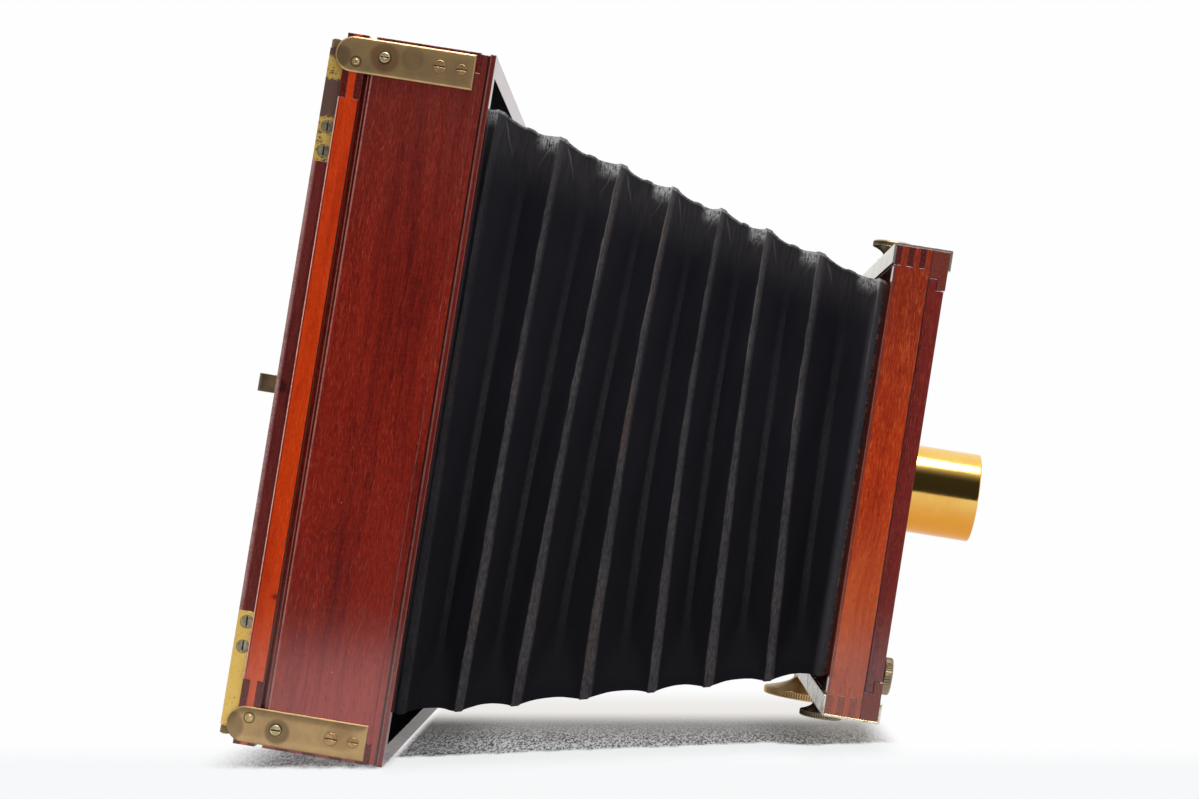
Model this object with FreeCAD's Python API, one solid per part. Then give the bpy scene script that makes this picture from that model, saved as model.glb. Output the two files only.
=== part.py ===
import FreeCAD, Part
import math
import os

# A wood and brass plate camera with tapered bellows.
# Millimetres. +Z is up and the lens faces -Y. The body is symmetric about X = 0, but the focusing knob and
# the clamp knob of the lens board are on the -X side only.
# The origin is the mouth of the tripod bush, on the underside of the baseboard.
# "Left" is +X, the photographer's left hand when standing behind the camera.

# ---------------------------------------------------------------- driving sizes

# clearances
slide_clearance = 0.3
running_clearance = 0.08
seat_clearance = 0.2
hinge_clearance = 0.4

# baseboard
base_half_width = 96.0
base_panel_thickness = 14.0
rail_height = 10.0
rail_width = 18.0
base_reach = 218.0
bush_setback = 84.0
groove_depth = 4.0
groove_height = 3.0
groove_floor = 3.0

# tripod bush, for a 3/8 inch screw
bush_thread_radius = 4.76
bush_radius = 8.0
bush_flange_radius = 13.0
bush_flange_thickness = 2.0
bush_length = 12.0

# rear body: a box of four finger-jointed boards
body_size = 298.0
body_depth = 50.2
body_board = 8.5
body_fingers = 9
bead_inset = 2.4
bead_width = 0.7
bead_depth = 0.5
base_screw_head_radius = 4.0
base_screw_radius = 2.0
base_screw_length = 20.0
base_screw_inset = 10.0

# seat that the reversing back rests on
seat_step = 1.6
seat_width = 12.0
seat_outer_inset = 2.0
seat_inner_inset = 6.0

# reversing back
back_thickness = 9.0
back_rail_width = 22.0
back_stile_width = 27.0

# focusing screen
screen_thickness = 6.5
screen_side_inset = 7.7
screen_drop = 3.0
screen_member = 20.0
glass_rebate = 4.0
glass_front_wall = 1.5
glass_thickness = 2.0
bead_height = 2.8
bead_width = 3.8

# screen straps, pivots and lug
strap_thickness = 1.2
strap_length = 47.7
strap_lug_thickness = 1.0
strap_lug_height = 8.0
screen_gap = 0.3
pivot_radius = 1.3
pivot_height_drop = 1.2
pivot_setback = 4.4
arm_thickness = 1.5
arm_foot_width = 3.0
arm_foot_height = 20.0
arm_ear_thickness = 3.0
arm_ear_radius = 2.0
pivot_reach = strap_lug_thickness + hinge_clearance + arm_ear_thickness + hinge_clearance
strap_screw_radius = 2.4
strap_screw_spacing = 10.3
strap_screw_inset = 4.4
strap_screw_setback = 2.5
lug_width = 7.5
lug_plate_thickness = 1.2
lug_plate_height = 14.0
lug_block_depth = 5.0
lug_block_height = 5.0

# spring plates over the joint between body and reversing back
plate_width = 14.8
plate_thickness = 1.2
plate_margin = 1.25
plate_front = 8.0
plate_length = 58.2
plate_screw_offset = 0.35
plate_screw_front = 5.3
plate_screw_spacing = 9.3
plate_screw_radii = (2.2, 2.65)
plate_screw_length = 9.0
lift_screw_place = 37.5
lift_screw_head_radius = 2.2
lift_screw_head_height = 1.6
lift_screw_radius = 1.5
lift_screw_reach = 2.6
catch_pin_place = 49.2
catch_pin_offset = -2.95
catch_pin_radius = 1.2
catch_pin_reach = 2.2
stud_hole_clearance = 0.9
slot_width = 0.7
slot_depth = 0.8

# bellows: ridges and valleys of a tapered square tube
bellows_rear_setback = 36.0
bellows_rear_room = 9.5
bellows_front_room = 0.5
bellows_pitch = 25.0
bellows_first_ridge = -23.0
bellows_fold_depth = 9.0
bellows_wall = 1.6
rear_frame_thickness = 8.0
rear_frame_width = 24.5

# front standard: a thin box of four finger-jointed boards in two brass channels
standard_gap = 179.5
front_size = 204.0
front_board = 8.6
front_box_depth = 15.7
front_fingers = 6
guide_thickness = 7.5
bellows_board_thickness = 8.0
bellows_board_width = 27.4
flange_thickness = 3.0
flange_margin = 5.4
flange_width = 18.0
channel_wall = 1.0
channel_leg = 9.0
channel_bend = 0.8

# lens board in its guides
guide_width = 17.1
board_tongue = 5.0
board_tongue_thickness = 3.3
board_thickness = 6.8
sill_height = 8.0
board_stud_radius = 1.5
board_clamp_overlap = 4.0

# foot rail, carriage and focusing drive
foot_height = 20.0
foot_clearance = 0.4
foot_boss_margin = 2.0
carriage_length = 150.0
carriage_front_reach = 4.0
carriage_clearance = 0.3
shaft_radius = 3.0
shaft_setback = 6.5
gear_module = 1.0
pinion_teeth = 14
pinion_width = 5.4
pinion_addendum = 0.85
rack_addendum = 0.8
dedendum = 1.25
pressure_angle = 20.0
backlash = 0.16
rack_width = 6.0
flank_point_count = 6
rack_body = 2.25
rack_length = 122.0
rack_front_reach = 30.0

# knobs
focus_knob_radius = 20.5
focus_knob_rim = 4.0
focus_knob_cone = 6.5
focus_knob_neck_radius = 6.0
focus_knob_neck = 2.9
focus_knob_gap = 0.6
shaft_collar_radius = 5.0
shaft_collar = 1.6
clamp_knob_radius = 10.0
clamp_knob_rim = 3.2
clamp_knob_cone = 3.0
clamp_knob_neck_radius = 4.6
clamp_knob_neck = 2.4
clamp_stud_radius = 2.5
clamp_stud_bite = 6.0
clamp_setback = 6.5
washer_radius = 6.6
washer_thickness = 1.2
small_knob_radius = 8.8
small_knob_rim = 4.0
small_knob_collar_radius = 3.9
small_knob_collar = 1.7
small_knob_neck_radius = 3.0
small_knob_neck = 7.2

# lens
barrel_radius = 20.6
barrel_wall = 3.0
barrel_front_reach = 38.8
barrel_thread_depth = 1.2
barrel_tail = 10.0
board_hole_clearance = 0.2
lens_flange_width = 6.0
lens_flange_thickness = 3.0
lens_collar_wall = 2.4
lens_collar = 5.0
flange_screw_radius = 1.9
flange_screw_length = 6.0
flange_screw_count = 3
glass_edge = 4.0
glass_sag = 2.2
front_glass_depth = 4.5
rear_glass_depth = 3.0
ring_thickness = 2.0
ring_wall = 1.8
glass_seat = 1.5

# ---------------------------------------------------------------- derived places

body_front = bush_setback
body_rear = body_front + body_depth
base_top = base_panel_thickness + rail_height
base_front = body_front - base_reach
body_half = body_size / 2
axis_height = base_top + body_half
body_top = base_top + body_size
plate_centre = body_half - plate_margin - plate_width / 2
screen_half_width = body_half - screen_side_inset
rear_frame_opening = body_half - body_board - rear_frame_width
bellows_rear_half = body_half - body_board - bellows_rear_room
back_front = body_rear + 2 * seat_step
back_rear = back_front + back_thickness
screen_front = back_rear + screen_gap
screen_rear = screen_front + screen_thickness
screen_top = body_top - screen_drop
screen_bottom = base_top + screen_drop
pivot_y = screen_front + pivot_setback
pivot_z = screen_top - pivot_height_drop
standard_rear = body_front - standard_gap
box_front = standard_rear - front_box_depth
standard_front = box_front - guide_thickness
front_half = front_size / 2
front_bottom = axis_height - front_half
front_top = axis_height + front_half
channel_outer = front_half + channel_wall
box_inner = front_half - front_board
bellows_board_opening = box_inner - bellows_board_width
flange_half = box_inner - flange_margin
flange_opening = flange_half - flange_width
bellows_front_half = flange_half - bellows_front_room
board_half_width = front_half - guide_width
board_clamp_offset = board_half_width + board_clamp_overlap
bellows_board_rear = box_front + bellows_board_thickness
flange_rear = bellows_board_rear + flange_thickness
board_rear = box_front - seat_clearance
board_step = board_rear - board_tongue_thickness
board_front = board_rear - board_thickness
sill_top = front_bottom + sill_height
foot_boss_half = base_half_width - rail_width - foot_boss_margin
foot_bottom = base_top + foot_clearance
foot_top = foot_bottom + foot_height
clamp_y = standard_rear - clamp_setback
carriage_top = base_top - carriage_clearance
carriage_bottom = base_panel_thickness + carriage_clearance
carriage_front = standard_front - carriage_front_reach
rack_half_spacing = base_half_width - rail_width / 2
pitch_radius = gear_module * pinion_teeth / 2
rack_pitch_z = base_top - rack_addendum * gear_module
shaft_y = standard_rear - shaft_setback
shaft_z = rack_pitch_z + pitch_radius
rack_root_z = rack_pitch_z - dedendum * gear_module
rack_bottom_z = rack_root_z - rack_body
barrel_front = board_front - barrel_front_reach
barrel_bore = barrel_radius - barrel_wall
barrel_thread_radius = barrel_radius - barrel_thread_depth
board_hole_radius = barrel_thread_radius + board_hole_clearance
lens_collar_radius = barrel_radius + lens_collar_wall
lens_flange_radius = lens_collar_radius + lens_flange_width
flange_screw_circle = lens_collar_radius + lens_flange_width / 2


# ---------------------------------------------------------------- helpers

def vector(x, y, z):
    return FreeCAD.Vector(x, y, z)


def block(x0, x1, y0, y1, z0, z1):
    return Part.makeBox(x1 - x0, y1 - y0, z1 - z0, vector(x0, y0, z0))


def rod(radius, start, direction, length):
    return Part.makeCylinder(radius, length, start, direction)


def cone(radius_a, radius_b, start, direction, length):
    return Part.makeCone(radius_a, radius_b, length, start, direction)


def fused(shapes):
    shape = shapes[0].multiFuse(shapes[1:]) if len(shapes) > 1 else shapes[0]
    return shape.removeSplitter()


def less(shape, tools):
    for tool in tools:
        shape = shape.cut(tool)
    return shape.removeSplitter()


def mirrored(shape):
    return shape.mirror(vector(0, 0, 0), vector(1, 0, 0))


def export(name, solids):
    """One STEP file per node, holding its solids."""
    found = [solid for shape in solids for solid in shape.Solids]
    shape = found[0] if len(found) == 1 else Part.makeCompound(found)
    shape.exportStep("parts/" + name + ".step")


def ring_of(half_outer, half_inner, y0, y1):
    """A square frame about the optical axis."""
    outer = block(-half_outer, half_outer, y0, y1, axis_height - half_outer, axis_height + half_outer)
    inner = block(-half_inner, half_inner, y0, y1, axis_height - half_inner, axis_height + half_inner)
    return outer.cut(inner)


def countersunk_screw(head_radius, shank_radius, top, direction, length, slot_along):
    """A wood screw with its head's face at top, pointing along direction, with one slot."""
    head = cone(head_radius, shank_radius, top, direction, head_radius - shank_radius)
    shank = rod(shank_radius, top, direction, length)
    tip = cone(shank_radius, shank_radius / 4, top + direction * length, direction, shank_radius * 2)
    body = fused([head, shank, tip])
    return body, body.cut(screw_slot(head_radius, top, direction, slot_along))


def screw_slot(head_radius, top, direction, slot_along):
    """The bar-shaped slot across a screw head, sunk along direction."""
    across = direction.cross(slot_along)
    corner = top - slot_along * head_radius - across * (slot_width / 2)
    face = Part.makePolygon([
        corner,
        corner + slot_along * (2 * head_radius),
        corner + slot_along * (2 * head_radius) + across * slot_width,
        corner + across * slot_width,
        corner,
    ])
    return Part.Face(face).extrude(direction * slot_depth)


def finger_box(half, board, y0, y1, fingers):
    """Top, bottom, left and right boards of a box; their fingers interlock at the four corners."""
    low = axis_height - half
    high = axis_height + half
    inner = half - board
    step = (y1 - y0) / fingers
    rails = {"top": [block(-inner, inner, y0, y1, high - board, high)]}
    rails["bottom"] = [block(-inner, inner, y0, y1, low, low + board)]
    sides = {"left": [block(inner, half, y0, y1, low + board, high - board)]}
    sides["right"] = [block(-half, -inner, y0, y1, low + board, high - board)]
    heights = {"top": (high - board, high), "bottom": (low, low + board)}
    widths = {"left": (inner, half), "right": (-half, -inner)}
    for number in range(fingers):
        start = y0 + number * step
        for rail, (z0, z1) in heights.items():
            for side, (x0, x1) in widths.items():
                finger = block(x0, x1, start, start + step, z0, z1)
                if number % 2:
                    sides[side].append(finger)
                else:
                    rails[rail].append(finger)
    boards = {name: fused(pieces) for name, pieces in {**rails, **sides}.items()}
    return boards


# ---------------------------------------------------------------- baseboard

def baseboard_pieces():
    """Panel, two grooved guide rails, tripod bush and the screws that hold the body down."""
    base_rear = body_rear
    panel = block(-base_half_width, base_half_width, base_front, base_rear, 0, base_panel_thickness)
    inner = base_half_width - rail_width
    rail = block(inner, base_half_width, base_front, base_rear, base_panel_thickness, base_top)
    groove_z = base_panel_thickness + groove_floor
    groove = block(inner, inner + groove_depth, base_front, base_rear, groove_z, groove_z + groove_height)
    rack_x = rack_half_spacing - rack_width / 2
    rack_front = shaft_y - rack_front_reach
    rack_seat = block(rack_x, rack_x + rack_width, rack_front, rack_front + rack_length, rack_bottom_z, base_top)
    rail = less(rail, [groove, rack_seat])
    up = vector(0, 0, 1)
    bush_hole = rod(bush_radius, vector(0, 0, 0), up, bush_length)
    flange_hole = rod(bush_flange_radius, vector(0, 0, 0), up, bush_flange_thickness)
    bush = fused([bush_hole, flange_hole])
    panel = panel.cut(bush)
    bush = bush.cut(rod(bush_thread_radius, vector(0, 0, 0), up, bush_length))
    cutters = []
    screws = []
    screw_x = base_half_width - rail_width / 2
    for side in (-1, 1):
        for y in (body_front + base_screw_inset, body_rear - base_screw_inset):
            top = vector(side * screw_x, y, 0)
            whole, slotted = countersunk_screw(
                base_screw_head_radius, base_screw_radius, top, up, base_screw_length, vector(1, 0, 0))
            cutters.append(whole)
            screws.append(slotted)
    export("baseboard", [less(panel, cutters)])
    export("base_left_rail", [less(rail, cutters)])
    export("base_right_rail", [less(mirrored(rail), cutters)])
    export("tripod_bush", [bush])
    export("base_screws", screws)
    return cutters


def rack_profile(x0, x1):
    """One straight rack, teeth up, with a tooth centred under the pinion shaft."""
    pitch = math.pi * gear_module
    slope = math.tan(math.radians(pressure_angle))
    half_tooth = pitch / 4 - backlash / 2
    tip_half = half_tooth - rack_addendum * gear_module * slope
    root_half = half_tooth + dedendum * gear_module * slope
    front = shaft_y - rack_front_reach
    rear = front + rack_length
    first = math.ceil((front + root_half - shaft_y) / pitch)
    last = math.floor((rear - root_half - shaft_y) / pitch)
    points = [(front, rack_bottom_z), (front, rack_root_z)]
    for number in range(first, last + 1):
        centre = shaft_y + number * pitch
        points.append((centre - root_half, rack_root_z))
        points.append((centre - tip_half, base_top))
        points.append((centre + tip_half, base_top))
        points.append((centre + root_half, rack_root_z))
    points += [(rear, rack_root_z), (rear, rack_bottom_z), (front, rack_bottom_z)]
    wire = Part.makePolygon([vector(x0, y, z) for y, z in points])
    return Part.Face(wire).extrude(vector(x1 - x0, 0, 0))


def racks():
    x0 = rack_half_spacing - rack_width / 2
    rack = rack_profile(x0, x0 + rack_width)
    export("racks", [rack, mirrored(rack)])


# ---------------------------------------------------------------- rear body

def plate_screws_at(side):
    """The two fixed screws at the front end of one spring plate: whole bodies and slotted ones."""
    down = vector(0, 0, -1)
    x = side * (plate_centre + plate_screw_offset)
    found = []
    for number, radius in enumerate(plate_screw_radii):
        y = body_front + plate_front + plate_screw_front + number * plate_screw_spacing
        top = vector(x, y, body_top + plate_thickness)
        found.append(countersunk_screw(radius, radius / 2, top, down, plate_screw_length, vector(0, 1, 0)))
    return found


def lift_screw_at(side):
    return vector(side * (plate_centre + plate_screw_offset), body_front + plate_front + lift_screw_place, body_top)


def catch_pin_at(side):
    return vector(side * (plate_centre + catch_pin_offset), body_front + plate_front + catch_pin_place, body_top)


def stud_holes():
    """Clearance holes in the wood under each raised screw and catch pin."""
    down = vector(0, 0, -1)
    holes = []
    for side in (-1, 1):
        lift_radius = lift_screw_radius + stud_hole_clearance
        holes.append(rod(lift_radius, lift_screw_at(side), down, lift_screw_reach + stud_hole_clearance))
        pin_radius = catch_pin_radius + stud_hole_clearance
        holes.append(rod(pin_radius, catch_pin_at(side), down, catch_pin_reach + stud_hole_clearance))
    return holes


def rear_body(base_cutters):
    """Four boards, the seat for the reversing back and the frame that carries the bellows."""
    boards = finger_box(body_half, body_board, body_front, body_rear, body_fingers)
    bead_front = body_front + bead_inset
    bead = ring_of(body_half, body_half - bead_depth, bead_front, bead_front + bead_width)
    cutters = stud_holes() + base_cutters + [bead]
    for side in (-1, 1):
        cutters += [whole for whole, slotted in plate_screws_at(side)]
    for name, board in boards.items():
        export("body_" + name + "_board", [less(board, cutters)])
    outer = ring_of(body_half - seat_outer_inset, body_half - seat_width, body_rear, body_rear + seat_step)
    inner = ring_of(body_half - seat_inner_inset, body_half - seat_width, body_rear + seat_step, back_front)
    export("back_seat", [fused([outer, inner])])
    frame_front = body_front + bellows_rear_setback
    frame = ring_of(body_half - body_board, rear_frame_opening, frame_front, frame_front + rear_frame_thickness)
    export("bellows_rear_frame", [frame])


def reversing_back():
    """Two rails with through tenons in the open ends of two stiles."""
    third = back_thickness / 3
    inner_x = body_half - back_stile_width
    cutters = stud_holes()
    for name, z0 in (("top", body_top - back_rail_width), ("bottom", base_top)):
        z1 = z0 + back_rail_width
        middle = block(-inner_x, inner_x, back_front, back_rear, z0, z1)
        tenon = block(-body_half, body_half, back_front + third, back_rear - third, z0, z1)
        export("back_" + name + "_rail", [less(fused([middle, tenon]), cutters)])
    for name, x0 in (("left", inner_x), ("right", -body_half)):
        x1 = x0 + back_stile_width
        stile = block(x0, x1, back_front, back_rear, base_top, body_top)
        top_slot = block(x0, x1, back_front + third, back_rear - third, body_top - back_rail_width, body_top)
        low_slot = block(x0, x1, back_front + third, back_rear - third, base_top, base_top + back_rail_width)
        export("back_" + name + "_stile", [less(stile, [top_slot, low_slot] + cutters)])


def spring_plates():
    """Flat brass springs: two screws at the front end, a lifting screw and a catch pin at the round rear end."""
    radius = plate_width / 2
    front = body_front + plate_front
    centre_y = front + plate_length - radius
    up = vector(0, 0, 1)
    top = body_top + plate_thickness
    for name, side in (("left", 1), ("right", -1)):
        x = side * plate_centre
        flat = block(x - radius, x + radius, front, centre_y, body_top, top)
        plate = fused([flat, rod(radius, vector(x, centre_y, body_top), up, plate_thickness)])
        lift = lift_screw_at(side)
        pin = catch_pin_at(side)
        holes = [rod(lift_screw_radius + running_clearance, lift, up, plate_thickness)]
        holes.append(rod(catch_pin_radius + running_clearance, pin, up, plate_thickness))
        holes += [whole for whole, slotted in plate_screws_at(side)]
        export(name + "_spring_plate", [less(plate, holes)])
        export(name + "_catch_studs", [lifting_screw(lift), catch_pin(pin)])
    export("plate_screws", [slotted for side in (1, -1) for whole, slotted in plate_screws_at(side)])


def lifting_screw(place):
    """A slotted cheese-head screw through the plate, its tip free in the board below."""
    up = vector(0, 0, 1)
    shank_height = lift_screw_reach + plate_thickness
    shank = rod(lift_screw_radius, place - up * lift_screw_reach, up, shank_height)
    head_bottom = place + up * plate_thickness
    head = rod(lift_screw_head_radius, head_bottom, up, lift_screw_head_height)
    edges = [edge for edge in head.Edges if edge.CenterOfMass.z > head_bottom.z + lift_screw_head_height * 0.9]
    head = head.makeFillet(lift_screw_head_height * 0.3, edges)
    top = head_bottom + up * lift_screw_head_height
    return fused([shank, head]).cut(screw_slot(lift_screw_head_radius, top, vector(0, 0, -1), vector(0, 1, 0)))


def catch_pin(place):
    """A plain pin with a domed tip below and a flat top that stands just over the plate."""
    up = vector(0, 0, 1)
    height = catch_pin_reach + plate_thickness + catch_pin_radius / 4
    pin = rod(catch_pin_radius, place - up * catch_pin_reach, up, height)
    ends = [edge for edge in pin.Edges if edge.Curve.TypeId == "Part::GeomCircle"]
    return pin.makeChamfer(catch_pin_radius / 4, ends)


# ---------------------------------------------------------------- focusing screen

def strap_screws_at(side):
    down = vector(0, 0, -1)
    inner_end = screen_half_width + strap_lug_thickness - strap_length
    found = []
    for number in range(2):
        x = side * (inner_end + strap_screw_inset + number * strap_screw_spacing)
        top = vector(x, screen_front + strap_screw_setback, screen_top)
        length = screen_member / 2
        found.append(countersunk_screw(strap_screw_radius, strap_screw_radius / 2, top, down, length,
                                       vector(1, 0, 0)))
    return found


def focusing_screen():
    """Two rails, two stiles, ground glass and its beads, hung from two brass straps."""
    inner_x = screen_half_width - screen_member
    low = screen_bottom + screen_member
    high = screen_top - screen_member
    rebate_front = screen_front + glass_front_wall
    glass_x = inner_x + glass_rebate
    rebate = block(-glass_x, glass_x, rebate_front, screen_rear, low - glass_rebate, high + glass_rebate)
    strap_seats = []
    for side in (1, -1):
        x0, x1 = sorted((side * (screen_half_width + strap_lug_thickness - strap_length), side * screen_half_width))
        strap_seats.append(block(x0, x1, screen_front, screen_rear, screen_top - strap_thickness, screen_top))
        strap_seats += [whole for whole, slotted in strap_screws_at(side)]
    top_rail = block(-screen_half_width, screen_half_width, screen_front, screen_rear, high, screen_top)
    bottom_rail = block(-screen_half_width, screen_half_width, screen_front, screen_rear, screen_bottom, low)
    left_stile = block(inner_x, screen_half_width, screen_front, screen_rear, low, high)
    export("screen_top_rail", [less(top_rail, [rebate] + strap_seats)])
    export("screen_bottom_rail", [less(bottom_rail, [rebate])])
    export("screen_left_stile", [less(left_stile, [rebate])])
    export("screen_right_stile", [less(mirrored(left_stile), [rebate])])
    glass_rear = rebate_front + glass_thickness
    export("ground_glass", [block(-glass_x, glass_x, rebate_front, glass_rear, low - glass_rebate,
                                  high + glass_rebate)])
    glazing_beads(glass_x, glass_rear, low - glass_rebate, high + glass_rebate)
    screen_straps()
    export("screen_lug", [screen_lug()])


def glazing_beads(glass_x, front, low, high):
    rear = front + bead_height
    across = [block(-glass_x, glass_x, front, rear, z, z + bead_width) for z in (low, high - bead_width)]
    upright = [block(x, x + bead_width, front, rear, low + bead_width, high - bead_width)
               for x in (-glass_x, glass_x - bead_width)]
    export("glazing_beads", across + upright)


def screen_straps():
    """Brass straps let into the top rail; each turns down over the frame's end and ends in a pivot pin."""
    low = screen_top - strap_thickness
    straps = []
    screws = []
    for side in (1, -1):
        outer = screen_half_width + strap_lug_thickness
        x0, x1 = sorted((side * (outer - strap_length), side * outer))
        flat = block(x0, x1, screen_front, screen_rear, low, screen_top)
        x2, x3 = sorted((side * screen_half_width, side * outer))
        lug = block(x2, x3, screen_front, screen_rear, screen_top - strap_lug_height, screen_top)
        pin_start = vector(side * screen_half_width, pivot_y, pivot_z)
        pin = rod(pivot_radius, pin_start, vector(side, 0, 0), pivot_reach)
        found = strap_screws_at(side)
        straps.append(less(fused([flat, lug, pin]), [whole for whole, slotted in found]))
        screws += [slotted for whole, slotted in found]
    export("screen_straps", straps)
    export("strap_screws", screws)


def screen_lug():
    """A brass lug on the rear of the screen's top rail, in the middle."""
    half = lug_width / 2
    top = screen_top
    plate = block(-half, half, screen_rear, screen_rear + lug_plate_thickness, top - lug_plate_height, top)
    head = block(-half, half, screen_rear, screen_rear + lug_block_depth, top - lug_block_height, top)
    lip_start = vector(-half, screen_rear + lug_block_depth, top - lug_block_height / 2)
    lip = rod(lug_block_height / 2, lip_start, vector(1, 0, 0), lug_width)
    return fused([plate, head, lip])


def pivot_arms():
    """Two brass arms on the reversing back; each has a foot plate and an ear round the screen's pivot pin."""
    ear_x = screen_half_width + strap_lug_thickness + hinge_clearance
    foot_top = pivot_z + arm_ear_radius
    foot = block(ear_x, ear_x + arm_foot_width, back_rear, back_rear + arm_thickness,
                 foot_top - arm_foot_height, foot_top)
    ear_start = vector(ear_x, pivot_y, pivot_z)
    along = vector(1, 0, 0)
    ear = rod(arm_ear_radius, ear_start, along, arm_ear_thickness)
    bridge = block(ear_x, ear_x + arm_ear_thickness, back_rear, pivot_y,
                   pivot_z - arm_ear_radius, pivot_z + arm_ear_radius)
    hole = rod(pivot_radius + running_clearance, ear_start, along, arm_foot_width)
    arm = less(fused([foot, ear, bridge]), [hole])
    export("pivot_arms", [arm, mirrored(arm)])


# ---------------------------------------------------------------- bellows

def bellows():
    """A pleated, tapered square tube, open at both ends."""
    rear = body_front + bellows_rear_setback
    front = flange_rear + seat_clearance
    taper = (bellows_rear_half - bellows_front_half) / standard_gap
    places = [(rear, bellows_fold_depth)]
    y = body_front - bellows_first_ridge
    while y > front + bellows_pitch / 4:
        places.append((y, 0.0))
        if y - bellows_pitch / 2 > front + bellows_pitch / 4:
            places.append((y - bellows_pitch / 2, bellows_fold_depth))
        y -= bellows_pitch
    places.append((front, bellows_fold_depth))
    outer = []
    inner = []
    for y, fold in places:
        half = bellows_rear_half + taper * (y - body_front) - fold
        outer.append(square_wire(half, y))
        inner.append(square_wire(half - bellows_wall, y))
    skin = Part.makeLoft(outer, True, True)
    hollow = Part.makeLoft(inner, True, True)
    export("bellows", [skin.cut(hollow)])


def square_wire(half, y):
    corners = [(-half, -half), (half, -half), (half, half), (-half, half), (-half, -half)]
    return Part.makePolygon([vector(x, y, axis_height + z) for x, z in corners])


# ---------------------------------------------------------------- front standard

def front_box():
    """The standard's box, the board that closes it round the lens opening, and the bellows flange."""
    boards = finger_box(front_half, front_board, box_front, standard_rear, front_fingers)
    studs = [clamp_stud(side) for side in (1, -1)]
    for name, board in boards.items():
        export("front_" + name + "_board", [less(board, studs)])
    export("bellows_board", [ring_of(box_inner, bellows_board_opening, box_front, bellows_board_rear)])
    export("bellows_front_flange", [ring_of(flange_half, flange_opening, bellows_board_rear, flange_rear)])


def clamp_stud(side):
    """The threaded hole's wall round a side clamp knob's stud."""
    start = vector(side * (front_half - clamp_stud_bite - running_clearance), clamp_y, axis_height)
    length = clamp_stud_bite + running_clearance + channel_wall
    return rod(clamp_stud_radius + running_clearance, start, vector(side, 0, 0), length)


def uprights():
    """Brass channels over the two sides of the standard, from the foot rail to the top."""
    screws = []
    for name, side in (("left", 1), ("right", -1)):
        x0, x1 = sorted((side * (front_half - channel_leg + channel_wall), side * channel_outer))
        outer = block(x0, x1, standard_front - channel_wall, standard_rear + channel_wall, foot_bottom, front_top)
        edges = [edge for edge in outer.Edges if is_web_corner(edge, side)]
        outer = outer.makeFillet(channel_bend, edges)
        x2, x3 = sorted((side * (front_half - channel_leg), side * front_half))
        core = block(x2, x3, standard_front, standard_rear, foot_bottom, front_top)
        hole = rod(shaft_radius + running_clearance, vector(side * box_inner, shaft_y, shaft_z),
                   vector(side, 0, 0), front_board * 2)
        found = upright_screws(side)
        cutters = [core, hole, clamp_stud(side)] + [whole for whole, slotted in found]
        export(name + "_upright", [less(outer, cutters)])
        screws += [slotted for whole, slotted in found]
    export("upright_screws", screws)


def is_web_corner(edge, side):
    """True for the two long outer corners of a channel's web."""
    middle = edge.CenterOfMass
    upright = abs(edge.Vertexes[0].Point.z - edge.Vertexes[-1].Point.z) > front_size / 2
    return upright and abs(middle.x - side * channel_outer) < channel_wall / 2


def upright_screws(side):
    """Two screws through a channel's web into the end of the foot rail."""
    y = (standard_front + shaft_y - shaft_radius) / 2
    found = []
    for share in (0.25, 0.75):
        top = vector(side * channel_outer, y, foot_bottom + share * foot_height)
        length = front_board
        found.append(countersunk_screw(strap_screw_radius, strap_screw_radius / 2, top, vector(-side, 0, 0),
                                       length, vector(0, 1, 0)))
    return found


def lens_board_guides():
    """Upright strips with an undercut for the lens board's tongues, and a sill below it."""
    lip = board_half_width + slide_clearance + seat_clearance / 2
    slot = board_half_width + board_tongue + slide_clearance
    step = board_step - slide_clearance
    guide = block(lip, front_half, standard_front, box_front, front_bottom, front_top)
    undercut = block(lip, slot, step, box_front, sill_top, front_top)
    guide = guide.cut(undercut)
    clamp_hole = rod(board_stud_radius + running_clearance,
                     vector(-board_clamp_offset, standard_front, axis_height), vector(0, 1, 0), guide_thickness)
    export("lens_board_guides", [guide, mirrored(guide).cut(clamp_hole)])
    export("lens_board_sill", [block(-lip, lip, standard_front, box_front, front_bottom, sill_top)])


def foot_and_carriage():
    """The rail that joins the uprights, and the grooved-in carriage under it."""
    rail = block(-front_half, front_half, standard_front, standard_rear, foot_bottom, foot_top)
    boss = block(-foot_boss_half, foot_boss_half, standard_front, standard_rear, carriage_top, foot_bottom)
    along = vector(1, 0, 0)
    bore = rod(shaft_radius + running_clearance, vector(-front_half, shaft_y, shaft_z), along, front_size)
    clear = pitch_radius + gear_module + foot_clearance
    half_notch = pinion_width / 2 + slide_clearance
    notches = []
    for side in (1, -1):
        x = side * rack_half_spacing
        notches.append(block(x - half_notch, x + half_notch, shaft_y - clear, standard_rear,
                             foot_bottom, shaft_z + clear))
    screws = [whole for side in (1, -1) for whole, slotted in upright_screws(side)]
    export("foot_rail", [less(fused([rail, boss]), [bore] + notches + screws)])
    half = base_half_width - rail_width - slide_clearance
    tray = block(-half, half, carriage_front, carriage_front + carriage_length, carriage_bottom, carriage_top)
    tongue_low = base_panel_thickness + groove_floor + running_clearance
    tongue_high = tongue_low + groove_height - 2 * running_clearance
    reach = half + groove_depth - slide_clearance
    tongues = block(-reach, reach, carriage_front, carriage_front + carriage_length, tongue_low, tongue_high)
    export("carriage", [fused([tray, tongues])])


# ---------------------------------------------------------------- focusing drive

def involute(base_radius, angle):
    """A point of the involute of a circle, as (x, y), for a roll angle in radians."""
    x = base_radius * (math.cos(angle) + angle * math.sin(angle))
    y = base_radius * (math.sin(angle) - angle * math.cos(angle))
    return x, y


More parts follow.
